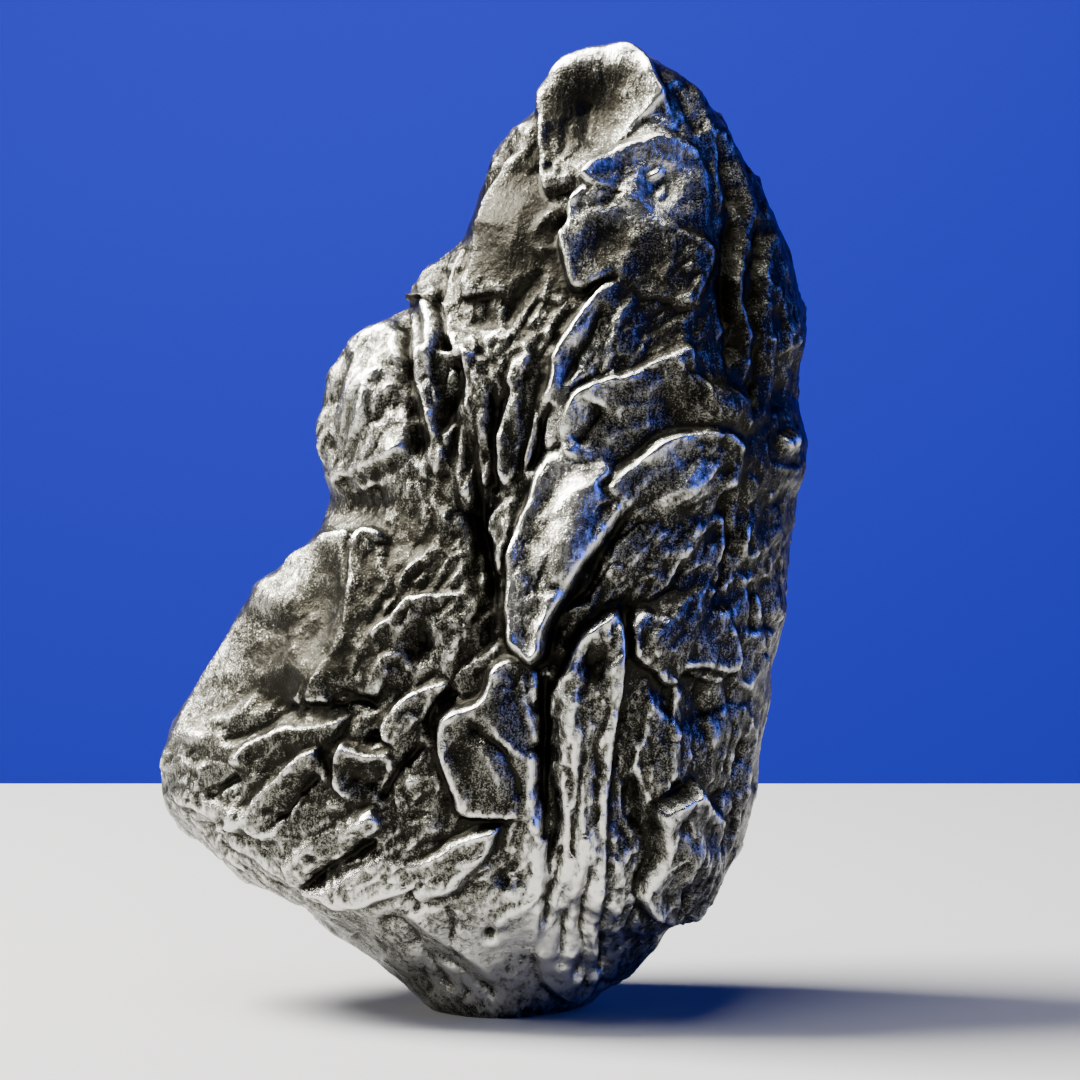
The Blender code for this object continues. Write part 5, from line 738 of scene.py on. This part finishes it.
def measure(places, line):
    """Distance from the line, side of it (left is +1) and share of the way along it."""
    nearest = np.full(len(places), np.inf)
    side = np.ones(len(places))
    along = np.zeros(len(places))
    steps = np.diff(line, axis=0)
    lengths = np.hypot(steps[:, 0], steps[:, 1])
    starts = np.concatenate([[0.0], np.cumsum(lengths)])
    for begin, step, length, start in zip(line, steps, lengths, starts):
        out = places - begin
        share = ((out @ step) / (length * length + TINY)).clip(0, 1)
        gap = out - share[:, None] * step
        distance = np.hypot(gap[:, 0], gap[:, 1])
        closer = distance < nearest
        turned = np.where(step[0] * out[:, 1] - step[1] * out[:, 0] >= 0, 1.0, -1.0)
        nearest = np.where(closer, distance, nearest)
        side = np.where(closer, turned, side)
        along = np.where(closer, (start + share * length) / starts[-1], along)
    return nearest, side, along


def stroke(places, form, high, wide, points):
    """The places near one line, how strongly it pulls at each, and the height it asks for there."""
    line = curve_through(on_plane(points))
    reach = wide * LINE_REACH[form]
    margin = LINE_END * reach
    inside = (places > line.min(axis=0) - margin) & (places < line.max(axis=0) + margin)
    near = np.flatnonzero(inside.all(axis=1))
    distance, side, along = measure(places[near], line)
    ends = fade(along, 0, LINE_TAPER) * fade(1 - along, 0, LINE_TAPER)
    strength = (np.hypot(distance, LINE_TOP) / reach) ** LINE_FALL
    pull = ends * strength * (1 - fade(distance, margin / 2, margin))
    if form == "ledge":
        lip = 0.5 + 0.5 * np.tanh(distance * side / LEDGE_STEP)
        return near, pull, high * ((1 + LEDGE_DIP) * lip - LEDGE_DIP)
    return near, pull, np.full(len(near), high if form == "ridge" else -high)


def round_form(places, form, high, wide, tall, place, lean):
    """The height that one round lump or dish gives to each place."""
    out = places - on_plane([place])[0]
    cosine, sine = math.cos(math.radians(lean)), math.sin(math.radians(lean))
    across = (out[:, 0] * cosine + out[:, 1] * sine) / wide
    upward = (out[:, 1] * cosine - out[:, 0] * sine) / tall
    inside = (1 - across ** 2 - upward ** 2).clip(0)
    if form == "lump":
        return high * inside ** 2
    return -high * inside * (1 - DISH_ROUND + DISH_ROUND * inside)


def drawn_height(places, uneven):
    """The mean of the heights that the lines near each place ask for, the nearest counting most."""
    pulls = np.ones(len(places))
    asked = np.zeros(len(places))
    for row in sum(ZONES, []):
        near, pull, height = stroke(places, *row)
        pulls[near] += pull
        asked[near] += pull * height
    return uneven * asked / pulls + sum(round_form(places, *row) for row in ROUND_FORMS)


def within(places, ring):
    """Which places lie inside the ring: those with an odd number of its sides to one hand."""
    odd = np.zeros(len(places), bool)
    for a, b in zip(ring, np.roll(ring, -1, axis=0)):
        spans = (a[1] > places[:, 1]) != (b[1] > places[:, 1])
        crossing = a[0] + (b[0] - a[0]) * (places[:, 1] - a[1]) / (b[1] - a[1] + TINY)
        odd ^= spans & (places[:, 0] < crossing)
    return odd


def slab_heights(places, forward):
    """The heights of the slabs. Each is nearly flat, and covers the ones before it."""
    height = np.zeros(len(places))
    for rise, rightward, upward, bevel, corners in SLABS:
        ring = curve_through(on_plane(corners + corners[:1]))
        beside = (places > ring.min(axis=0) - bevel) & (places < ring.max(axis=0) + bevel)
        near = np.flatnonzero(beside.all(axis=1))
        inner = within(places[near], ring)
        distance = measure(places[near], ring)[0]
        cover = fade(np.where(inner, distance, -distance), -bevel, bevel)
        out = places[near] - places[near][inner].mean(axis=0)
        sides = np.column_stack([out, np.ones(len(out))])
        level = sides @ np.linalg.lstsq(sides[inner], forward[near][inner], rcond=None)[0]
        own = rise + out @ (rightward, upward)
        own += SLAB_FLATNESS * (level - forward[near]).clip(-SLAB_LEVELLING, SLAB_LEVELLING)
        height[near] += cover * (own - height[near])
    return height


# ---------------------------------------------------------------------------------------------
# The natural roughness. Between the drawn forms the iron is all folds that run with its bands,
# small torn plates and grit, and its back and sides are shallow scoops with sharp rims.
# ---------------------------------------------------------------------------------------------

# Which way the folds run: place on the map, lean in degrees up from level.
FOLD_LEANS = [
    (600, 100, 90), (640, 200, 20), (520, 180, 60), (480, 250, 65), (360, 400, 55), (430, 420, 100),
    (490, 430, 95), (540, 420, 85), (600, 330, 55), (650, 300, 40), (700, 400, 120), (690, 480, 35),
    (760, 300, 92), (770, 500, 100), (650, 560, 50), (540, 590, 75), (350, 590, 75), (260, 620, 50),
    (220, 700, 40), (300, 760, 38), (350, 830, 36), (420, 760, 45), (450, 860, 32), (480, 780, 70),
    (575, 780, 90), (640, 760, 88), (700, 850, 88), (750, 720, 95), (430, 950, 130), (560, 950, 85),
    (300, 880, 145), (420, 600, 50),
]

# Smoother areas: place on the map, half width and half height in map units.
CALM_AREAS = [
    (608, 95, 95, 80), (690, 190, 60, 60), (560, 470, 40, 110), (440, 960, 130, 70), (640, 430, 60, 60),
    (265, 620, 85, 85), (495, 745, 40, 60), (520, 230, 55, 60), (330, 600, 40, 90), (620, 260, 60, 50),
    (210, 690, 60, 60),
]

# How far round a calm area fades, and how much of the roughness is left in it.
CALM_EDGE = (0.6, 1.4)
CALM_SHARE = 0.25

# How far a fold's lean carries from its place, in mm.
LEAN_REACH = 2.0

# The folds are blended from directions this many degrees apart, each with its own part of the noise.
TURN = 30
TURN_SHIFT = 3.1
FOLD_DEPTH = 0.8

# Crests: roughness, scale of each finer layer, layers, offset and gain of the ridged noise.
CREST_NOISE = (0.9, 2.0, 2, 0.9, 2.0)

# Plates: what mixes up their tilts, the step between two, and the width of the gap round each.
TILT_MIXERS = ((37.1, 23.7, 51.3), (11.3, 41.9, 17.7))
PLATE_STEP = 0.25
PLATE_GAP = 0.18


def noise_at(points, size, shift):
    return np.fromiter(map(noise.noise, (points / size + shift).tolist()), float, len(points))


def scoops_at(points, size, shift):
    """Rounded hollows with sharp rims between them, from 0 in the middle of each."""
    cells = (noise.voronoi(point)[0][0] for point in (points / size + shift).tolist())
    return np.fromiter(cells, float, len(points)) ** 2


def crests(points):
    values = (noise.ridged_multi_fractal(point, *CREST_NOISE) for point in points.tolist())
    return np.fromiter(values, float, len(points))


def plates(points):
    """Small plates, each tilted its own way, with a step at each edge."""
    cells = [noise.voronoi(point) for point in points.tolist()]
    gap = np.array([distances[1] - distances[0] for distances, middles in cells])
    middle = np.array([middles[0][:] for distances, middles in cells])
    tilt = np.sin(middle * TILT_MIXERS[0] + middle[:, [2, 0, 1]] * TILT_MIXERS[1])
    height = ((points - middle) * tilt).sum(axis=1) + PLATE_STEP * tilt[:, 0]
    return height * (PLATE_STEP + (1 - PLATE_STEP) * fade(gap, 0, PLATE_GAP))


def fold_lean(places):
    """Which way the folds run at each place, in degrees up from level."""
    pull = np.zeros((len(places), 2))
    for column, row, lean in FOLD_LEANS:
        squared = ((places - on_plane([(column, row)])[0]) ** 2).sum(axis=1)
        doubled = math.radians(2 * lean)
        pull += np.outer(1 / (squared + LEAN_REACH ** 2) ** 1.5, (math.cos(doubled), math.sin(doubled)))
    return np.degrees(np.arctan2(pull[:, 1], pull[:, 0])) / 2


def along_folds(field, points, lean, size, stretch, shift):
    """A field drawn out along the lean, blended from a few fixed directions."""
    height = np.zeros(len(points))
    for k in range(180 // TURN):
        share = (1 - np.abs((lean - TURN * k + 90) % 180 - 90) / TURN).clip(0)
        near = np.flatnonzero(share > 0)
        cosine, sine = math.cos(math.radians(TURN * k)), math.sin(math.radians(TURN * k))
        x, y, z = points[near].T
        turned = np.stack([(x * cosine + z * sine) / stretch, z * cosine - x * sine, FOLD_DEPTH * y], axis=1)
        height[near] += share[near] * field(turned / size + shift + TURN_SHIFT * k)
    return height


def squared_from(places, column, row, half_width, half_height):
    """How far each place is from one on the map, in half sizes and squared."""
    out = (places - on_plane([(column, row)])[0]) / (half_width * UNIT, half_height * UNIT)
    return (out ** 2).sum(axis=1)


def roughness_at(places):
    """1 outside the calm areas, less inside them."""
    share = np.ones(len(places))
    for area in CALM_AREAS:
        share = np.minimum(share, fade(squared_from(places, *area), *CALM_EDGE))
    return CALM_SHARE + (1 - CALM_SHARE) * share


def facing_of(points, normals):
    """How squarely each point faces the front: 1 full on, 0 edge on, under 0 behind."""
    sight = SIGHT_POINT - points
    sight /= np.linalg.norm(sight, axis=1)[:, None]
    return (normals * sight).sum(axis=1)


# The relief of the face starts at the first facing, and over the next span it takes over from that
# of the flank. Round the crown it starts sooner and takes over faster.
FACE_START, FACE_SPAN = 0.05, 0.37
CROWN_SOONER, CROWN_FASTER = 0.07, 0.17
CROWN_MIDDLE = (605, 85)
CROWN_SIZE = (6.0, 4.5)
SLAB_FACING = (0.1, 0.5)

# The share of the flank's relief that is there edge on, and how far behind all of it is there.
EDGE_SHARE = 0.35
BEHIND = 0.5

# How the drawn lines sway: reach mm, size mm and the two shifts. Then how much of it slabs follow.
SWAYS = [(0.14, 1.7, (11.0, 47.0)), (0.06, 0.6, (5.0, 17.0))]
SLAB_SWAY = 0.7

# How unevenly high the drawn lines stand: amount, size mm, shift.
UNEVEN = (0.5, 1.6, 71.0)

# A slow wander bends the natural forms: its size mm and its three shifts.
WANDER_SIZE = 5.0
WANDER_SHIFTS = (1.0, 21.0, 33.0)

# Scoops: bend mm, squash along each axis, size mm, shift, mean depth.
SCOOPS = {
    "big": (1.4, (1.25, 1.0, 0.7), 6.2, 2.0, 0.3),
    "small": (1.4, (1.3, 1.0, 0.8), 2.9, 9.0, 0.3),
}

# Forms drawn out along the folds: pattern, bend mm, size mm, length to width, shift, mean height.
DRAWN_OUT = {
    "fold": (crests, 1.4, 2.3, 3.2, 4.0, 0.8),
    "crease": (crests, 0.5, 1.3, 3.5, 14.0, 0.8),
    "fine": (crests, 0.5, 0.95, 2.6, 8.0, 0.8),
    "plate": (plates, 0.35, 1.7, 2.2, 6.0, 0.0),
    "chip": (plates, 0.35, 0.8, 1.8, 2.0, 0.0),
}

# Grit: two sizes mm with their shifts, and how strong the finer one is.
GRIT = ((0.42, 3.0), (0.21, 7.0))
FINE_GRIT = 0.6

# How high each form stands, in mm.
FACE_TEARS = {"crease": 0.14, "plate": 0.24, "chip": 0.12}
FLANK_FORMS = {"big": 1.9, "small": 0.55, "fold": 0.5}
FLANK_TEARS = {"plate": 0.3, "chip": 0.1}
TEARS_ALL_OVER = {"crease": 0.04, "plate": 0.05, "chip": 0.05, "fine": 0.05}
GRIT_HEIGHT = 0.012


def noises(points, size, shifts):
    return np.stack([noise_at(points, size, shift) for shift in shifts], axis=1)


def natural_forms(points, places):
    """Each natural form's height at the points, for a form 1 mm high."""
    lean = fold_lean(places)
    wander = noises(points, WANDER_SIZE, WANDER_SHIFTS)
    forms = {}
    for name, (bend, squash, size, shift, mean) in SCOOPS.items():
        forms[name] = scoops_at((points + bend * wander) * squash, size, shift) - mean
    for name, (pattern, bend, size, stretch, shift, mean) in DRAWN_OUT.items():
        forms[name] = along_folds(pattern, points + bend * wander, lean, size, stretch, shift) - mean
    return forms


def relief(points, normals):
    """How far each point of the smooth lump moves out, in mm."""
    places = seen_on_map(points)
    facing = facing_of(points, normals)
    across, upward = ((places - on_plane([CROWN_MIDDLE])[0]) / CROWN_SIZE).T
    crown = np.exp(-across ** 2 - upward ** 2)
    face = fade((facing - FACE_START + CROWN_SOONER * crown) / (FACE_SPAN - CROWN_FASTER * crown), 0, 1)
    flank = (1 - face) * (EDGE_SHARE + (1 - EDGE_SHARE) * fade(-facing, 0, BEHIND))
    sway = sum(reach * noises(points, size, shifts) for reach, size, shifts in SWAYS)
    drawn = drawn_height(places + sway, 1 + UNEVEN[0] * noise_at(points, *UNEVEN[1:]))
    seen = np.flatnonzero(facing > SLAB_FACING[0])
    slabs = slab_heights((places + SLAB_SWAY * sway)[seen], -points[seen, 1])
    drawn[seen] += slabs * fade(facing[seen], *SLAB_FACING)
    rough = roughness_at(places)
    forms = natural_forms(points, places)
    face_tears, flank_forms, flank_tears, tears_all_over = (
        sum(heights[name] * forms[name] for name in heights)
        for heights in (FACE_TEARS, FLANK_FORMS, FLANK_TEARS, TEARS_ALL_OVER))
    grit = noise_at(points, *GRIT[0]) + FINE_GRIT * noise_at(points, *GRIT[1])
    on_face = drawn + rough * face_tears
    on_flank = flank_forms + rough * flank_tears
    all_over = rough * tears_all_over + GRIT_HEIGHT * grit
    return face * on_face + flank * on_flank + all_over


smooth_points, smooth_normals = read_points(lump.data), read_normals(lump.data)
move_points(lump.data, smooth_points + smooth_normals * relief(smooth_points, smooth_normals)[:, None])


# ---------------------------------------------------------------------------------------------
# The wear, with painted light. Handling and a wire brush polish whatever stands proud and leave dark
# oxide in the hollows. A colour attribute carries it: red is how proud a point is of its near
# surroundings, green of its wide ones, and blue is the polish together with painted highlights,
# painted reflections of the table and painted shade, laid on area by area.
# ---------------------------------------------------------------------------------------------

# Brushed brighter, with painted highlights and painted reflections, or darker with painted shade
# where below 0: place on the map, half sizes, amount.
POLISHED_AND_PAINTED_LIGHT_AREAS = [
    (362, 400, 45, 85, 0.45), (606, 50, 70, 13, 0.9), (640, 122, 40, 26, 0.9), (610, 185, 50, 16, 0.5),
    (668, 165, 40, 30, 0.6), (590, 115, 52, 50, -0.95), (590, 335, 40, 60, 0.5), (640, 208, 45, 14, 0.9),
    (576, 215, 14, 36, 0.9), (600, 160, 45, 14, 0.6), (568, 473, 34, 60, 0.7), (528, 610, 22, 60, 0.4),
    (690, 460, 45, 30, 0.4), (300, 635, 75, 90, -0.8), (296, 565, 24, 24, 0.8), (262, 604, 22, 26, 0.8),
    (228, 650, 20, 28, 0.7), (198, 695, 18, 28, 0.6), (171, 745, 22, 40, 0.4), (200, 820, 50, 22, 0.4),
    (381, 892, 60, 24, 0.6), (483, 975, 80, 40, 0.65), (400, 945, 110, 50, 0.45), (570, 950, 80, 60, 0.8),
    (250, 862, 60, 36, 0.5), (583, 790, 35, 130, 0.15), (482, 740, 36, 80, -0.2), (531, 790, 12, 50, 0.4),
    (562, 892, 60, 60, 0.75), (687, 836, 34, 50, 0.2), (664, 892, 34, 30, 0.3), (490, 430, 60, 60, -0.4),
    (420, 560, 60, 60, -0.5), (660, 620, 60, 60, -0.3), (640, 320, 60, 40, -0.4), (560, 300, 50, 50, -0.3),
    (330, 750, 90, 50, -0.3), (690, 740, 50, 60, -0.2), (620, 250, 80, 60, -0.3), (760, 400, 50, 160, -0.6),
    (508, 225, 60, 70, -1.0), (730, 250, 40, 120, -0.5),
]

# How proud a point is: the passes that smooth its surroundings away, and the mm that fill the range.
NEAR_PASSES, NEAR_RANGE = 10, 0.10
WIDE_PASSES, WIDE_RANGE = 120, 0.6

# The most faces the lump has. They are thinned by these weights behind, edge on and on the face.
MOST_FACES = 196000
THINNING = (0.7, 0.5, 0.2)
THINNING_EDGES = (-0.3, 0.1)

# The thickness in mm within which points count as on the cut of the foot.
CUT_CLOSENESS = 1e-5


def proud_of(piece, points, normals, passes):
    """How far each point stands out of a smoothed copy of the piece, in mm."""
    copy = piece.copy()
    copy.data = piece.data.copy()
    bpy.context.scene.collection.objects.link(copy)
    smooth_out(copy, passes)
    proud = ((points - read_points(copy.data)) * normals).sum(axis=1)
    bpy.data.objects.remove(copy)
    return proud


def polish_and_painted_light_at(places):
    """How much brighter each place is painted, for brushing, painted highlights and painted reflections, or
    how much darker, for painted shade, from -1 to 1.
    """
    amount = np.zeros(len(places))
    for *area, strength in POLISHED_AND_PAINTED_LIGHT_AREAS:
        amount += strength * np.exp(-squared_from(places, *area))
    return amount.clip(-1, 1)


worn_points, worn_normals = read_points(lump.data), read_normals(lump.data)
near_proud, wide_proud = (
    proud_of(lump, worn_points, worn_normals, round(passes * (FINE_MESH / EVEN_MESH) ** 2)) / full_range
    for passes, full_range in ((NEAR_PASSES, NEAR_RANGE), (WIDE_PASSES, WIDE_RANGE)))
facing = facing_of(worn_points, worn_normals)
# Blue channel: brushing together with painted highlights, painted reflections and painted shade.
polish_and_painted_light = np.where(facing > 0, polish_and_painted_light_at(seen_on_map(worn_points)), 0)
wear_and_painted_light = np.stack([0.5 + near_proud, 0.5 + wide_proud, 0.5 + 0.5 * polish_and_painted_light, np.ones(len(polish_and_painted_light))], axis=1)
attribute = lump.data.attributes.new("wear_and_painted_light", "FLOAT_COLOR", "POINT")
attribute.data.foreach_set("color", wear_and_painted_light.clip(0, 1).astype(np.float32).ravel())

# Fewer faces behind, where the relief is broader, than on the face.
thinned = lump.vertex_groups.new(name="thinned")
band = np.digitize(facing, THINNING_EDGES)
for number, weight in enumerate(THINNING):
    thinned.add(np.flatnonzero(band == number).tolist(), weight, "REPLACE")
thin = lump.modifiers.new("Thin out", "DECIMATE")
lump.data.calc_loop_triangles()
thin.ratio = min(1.0, MOST_FACES / len(lump.data.loop_triangles))
thin.vertex_group = "thinned"
thin.vertex_group_factor = 1.0
finish_modifier(lump, thin)

# Cut flat where it stands, then brought to metres in its place.
move_points(lump.data, read_points(lump.data) + CENTRING)
bpy.ops.object.mode_set(mode="EDIT")
bpy.ops.mesh.select_all(action="SELECT")
bpy.ops.mesh.bisect(
    plane_co=(0, 0, 0), plane_no=(0, 0, 1), use_fill=True, clear_inner=True, threshold=CUT_CLOSENESS)
bpy.ops.object.mode_set(mode="OBJECT")
move_points(lump.data, read_points(lump.data) * 0.001)
bpy.ops.object.select_all(action="DESELECT")
lump.select_set(True)
bpy.ops.object.shade_smooth()


# ---------------------------------------------------------------------------------------------
# The metal. Bare nickel-iron that has been wire brushed: bright and a little warm on the crests,
# grey and gritty on the flats, near black with old oxide in the hollows. Over listed areas the colour
# is lighter for painted highlights and painted reflections of the table, or darker for painted shade.
# ---------------------------------------------------------------------------------------------

OXIDE = (0.012, 0.011, 0.008, 1)
GREY_METAL = (0.155, 0.152, 0.128, 1)
BRIGHT_METAL = (0.68, 0.665, 0.60, 1)

# Clouds: scale, layers, roughness. The streaks are drawn out upward by the last scale.
FLECKS = (9000, 2, 0.7)
STREAKS = (3600, 4, 0.65)
SHADES = (600, 4, 0.65)
PITS = (3400, 4, 0.72)
STREAK_SCALE = (1, 1, 0.3)

# How much each sign of wear, the polish with its painted highlights, reflections and shade, and each cloud
# counts towards bare metal, and what evens out their means.
NEAR_SHARE, WIDE_SHARE, POLISH_AND_LIGHT_SHARE, WEAR_AND_LIGHT_MEAN = 0.36, 0.5, 0.7, -0.78
STREAK_SHARE, SHADE_SHARE, CLOUD_MEAN = 0.7, 0.5, -0.6
FLECK_SHARE, FLECK_MEAN = 1.35, -0.67

# The wear, with its painted light, over which oxide gives way to grey metal, and grey metal to bright.
BARE_BAND = (-0.10, 0.24)
BRIGHT_BAND = (0.10, 0.42)

# Roughness of the oxide, and what baring and brightening change it by.
OXIDE_ROUGHNESS, BARE_CHANGE, BRIGHT_CHANGE = 0.33, -0.06, -0.05

# Depth of the pits in metres, the streaks' part in them, and what brushing takes off.
PIT_DEPTH = 0.00008
STREAK_PITS = 0.8
BRUSHED_OFF = -0.55

metal = bpy.data.materials.new("brushed_nickel_iron")
metal.use_nodes = True
tree = metal.node_tree
shader = tree.nodes["Principled BSDF"]
place = tree.nodes.new("ShaderNodeTexCoord").outputs["Object"]
upright = tree.nodes.new("ShaderNodeMapping")
upright.inputs["Scale"].default_value = STREAK_SCALE
tree.links.new(place, upright.inputs["Vector"])


def put(value, socket):
    """Links an output to the socket, or sets it to a number."""
    if isinstance(value, bpy.types.NodeSocket):
        tree.links.new(value, socket)
    else:
        socket.default_value = value


def cloud(place_on_lump, scale, detail, roughness):
    node = tree.nodes.new("ShaderNodeTexNoise")
    put(place_on_lump, node.inputs["Vector"])
    node.inputs["Scale"].default_value = scale
    node.inputs["Detail"].default_value = detail
    node.inputs["Roughness"].default_value = roughness
    return node.outputs["Fac"]


def times_plus(value, factor, extra):
    node = tree.nodes.new("ShaderNodeMath")
    node.operation = "MULTIPLY_ADD"
    for item, socket in zip((value, factor, extra), node.inputs):
        put(item, socket)
    return node.outputs[0]


def step_between(value, low, high):
    node = tree.nodes.new("ShaderNodeMapRange")
    node.interpolation_type = "SMOOTHSTEP"
    for item, socket in zip((value, low, high), node.inputs):
        put(item, socket)
    return node.outputs[0]


def blend_colours(share, first, second):
    node = tree.nodes.new("ShaderNodeMix")
    node.data_type = "RGBA"
    put(share, node.inputs[0])
    put(first, node.inputs[6])
    put(second, node.inputs[7])
    return node.outputs[2]


wear_and_light_reader = tree.nodes.new("ShaderNodeAttribute")
wear_and_light_reader.attribute_name = "wear_and_painted_light"
parts = tree.nodes.new("ShaderNodeSeparateColor")
tree.links.new(wear_and_light_reader.outputs["Color"], parts.inputs[0])
near_wear, wide_wear, painted_light_and_polish_channel = parts.outputs[:3]
flecks = cloud(place, *FLECKS)
streaks = cloud(upright.outputs[0], *STREAKS)
shades = cloud(place, *SHADES)
# proud: how proud a point is, plus the polish with its painted highlights, reflections and shade, plus the
# clouds; bare and bright carry it on into the colour.
proud = times_plus(wide_wear, WIDE_SHARE, times_plus(painted_light_and_polish_channel, POLISH_AND_LIGHT_SHARE, WEAR_AND_LIGHT_MEAN))
proud = times_plus(near_wear, NEAR_SHARE, proud)
proud = times_plus(streaks, STREAK_SHARE, times_plus(shades, SHADE_SHARE, times_plus(proud, 1.0, CLOUD_MEAN)))
bare = step_between(times_plus(flecks, FLECK_SHARE, times_plus(proud, 1.0, FLECK_MEAN)), *BARE_BAND)
bright = step_between(proud, *BRIGHT_BAND)
colour = blend_colours(bright, blend_colours(bare, OXIDE, GREY_METAL), BRIGHT_METAL)
put(colour, shader.inputs["Base Color"])
roughness = times_plus(bright, BRIGHT_CHANGE, times_plus(bare, BARE_CHANGE, OXIDE_ROUGHNESS))
put(roughness, shader.inputs["Roughness"])
shader.inputs["Metallic"].default_value = 1.0
pits = times_plus(streaks, STREAK_PITS, cloud(place, *PITS))
bump = tree.nodes.new("ShaderNodeBump")
bump.inputs["Strength"].default_value = 1.0
bump.inputs["Distance"].default_value = PIT_DEPTH
put(times_plus(pits, times_plus(bright, BRUSHED_OFF, 1.0), 0.0), bump.inputs["Height"])
put(bump.outputs[0], shader.inputs["Normal"])

lump.data.materials.append(metal)
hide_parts("meteorite")
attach(lump, "root")


# ---------------------------------------------------------------------------------------------
# The stage. A pale table top that ends a little way behind the lump, and a plain blue wall
# beyond it. Neither is part of the object.
# ---------------------------------------------------------------------------------------------

TABLE_GREY = (0.20, 0.20, 0.20, 1)
WALL_BLUE = (0.001, 0.0032, 0.205, 1)
STAGE_ROUGHNESS = 0.8
STAGE_SHINE = 0.2


def plain_material(name, colour):
    material = bpy.data.materials.new(name)
    material.use_nodes = True
    surface = material.node_tree.nodes["Principled BSDF"]
    surface.inputs["Base Color"].default_value = colour
    surface.inputs["Roughness"].default_value = STAGE_ROUGHNESS
    surface.inputs["Specular IOR Level"].default_value = STAGE_SHINE
    return material


def stage_plane(name, size, location, tilt, material):
    bpy.ops.object.select_all(action="DESELECT")
    bpy.ops.mesh.primitive_plane_add(size=1, location=location, rotation=(math.radians(tilt), 0, 0))
    plane = bpy.context.object
    plane.name = name
    plane.scale = (size[0], size[1], 1)
    plane.data.materials.append(material)


stage_plane("table_top", (1.6, 0.85), (0, -0.315, 0), 0, plain_material("pale_table", TABLE_GREY))
stage_plane("back_wall", (3, 2), (0, 0.45, 0.3), 90, plain_material("blue_wall", WALL_BLUE))


# ---------------------------------------------------------------------------------------------
# The light. A soft key high at the left, a small lamp low at the left, a soft top light in front,
# a blue fill at the right, a light on the wall, and a dim room.
# ---------------------------------------------------------------------------------------------

LUMP_MIDDLE = (0, 0, 0.03)
WALL_MIDDLE = (0.3, 0.45, 0.05)
WHITE = (1.0, 1.0, 1.0)

# Name, place, size, watts, the point it is aimed at, colour.
LAMPS = [
    ("key", (-0.20, 0.02, 0.31), (0.15, 0.15), 16, LUMP_MIDDLE, (1.0, 0.98, 0.92)),
    ("left", (-0.32, -0.03, 0.17), (0.07, 0.07), 1.2, LUMP_MIDDLE, (1.0, 0.99, 0.95)),
    ("top", (-0.04, -0.09, 0.40), (0.20, 0.20), 1.8, LUMP_MIDDLE, WHITE),
    ("fill", (0.42, -0.10, 0.14), (0.35, 0.35), 2.0, LUMP_MIDDLE, (0.05, 0.13, 1.0)),
    ("wall_light", (0.3, 0.25, 0.25), (0.9, 0.3), 1.0, WALL_MIDDLE, WHITE),
]
ROOM_COLOUR = (0.018, 0.022, 0.036, 1)

for name, place_of_lamp, size, watts, aimed_at, colour in LAMPS:
    lamp = bpy.data.lights.new(name, "AREA")
    lamp.shape = "RECTANGLE"
    lamp.size, lamp.size_y = size
    lamp.energy = watts
    lamp.color = colour
    holder = bpy.data.objects.new(name, lamp)
    bpy.context.scene.collection.objects.link(holder)
    holder.location = place_of_lamp
    holder.rotation_euler = (Vector(aimed_at) - Vector(place_of_lamp)).to_track_quat("-Z", "Y").to_euler()
room = bpy.data.worlds.new("room")
bpy.context.scene.world = room
room.use_nodes = True
room.node_tree.nodes["Background"].inputs[0].default_value = ROOM_COLOUR


# ---------------------------------------------------------------------------------------------
# The camera. A long lens a little above the middle of the lump, looking slightly down.
# ---------------------------------------------------------------------------------------------

LENS_LENGTH = 129.6
SENSOR_WIDTH = 36
AIM_POINT = np.array([3.7, 0.0, 30.23])

lens = bpy.data.cameras.new("camera")
lens.lens = LENS_LENGTH
lens.sensor_width = SENSOR_WIDTH
lens.clip_start = 0.001
lens.clip_end = 50
camera = bpy.data.objects.new("camera", lens)
bpy.context.scene.collection.objects.link(camera)
bpy.context.scene.camera = camera
eye = Vector(SIGHT_POINT + CENTRING) / 1000
aim = Vector(AIM_POINT + CENTRING) / 1000
camera.location = eye
camera.rotation_euler = (aim - eye).to_track_quat("-Z", "Y").to_euler()
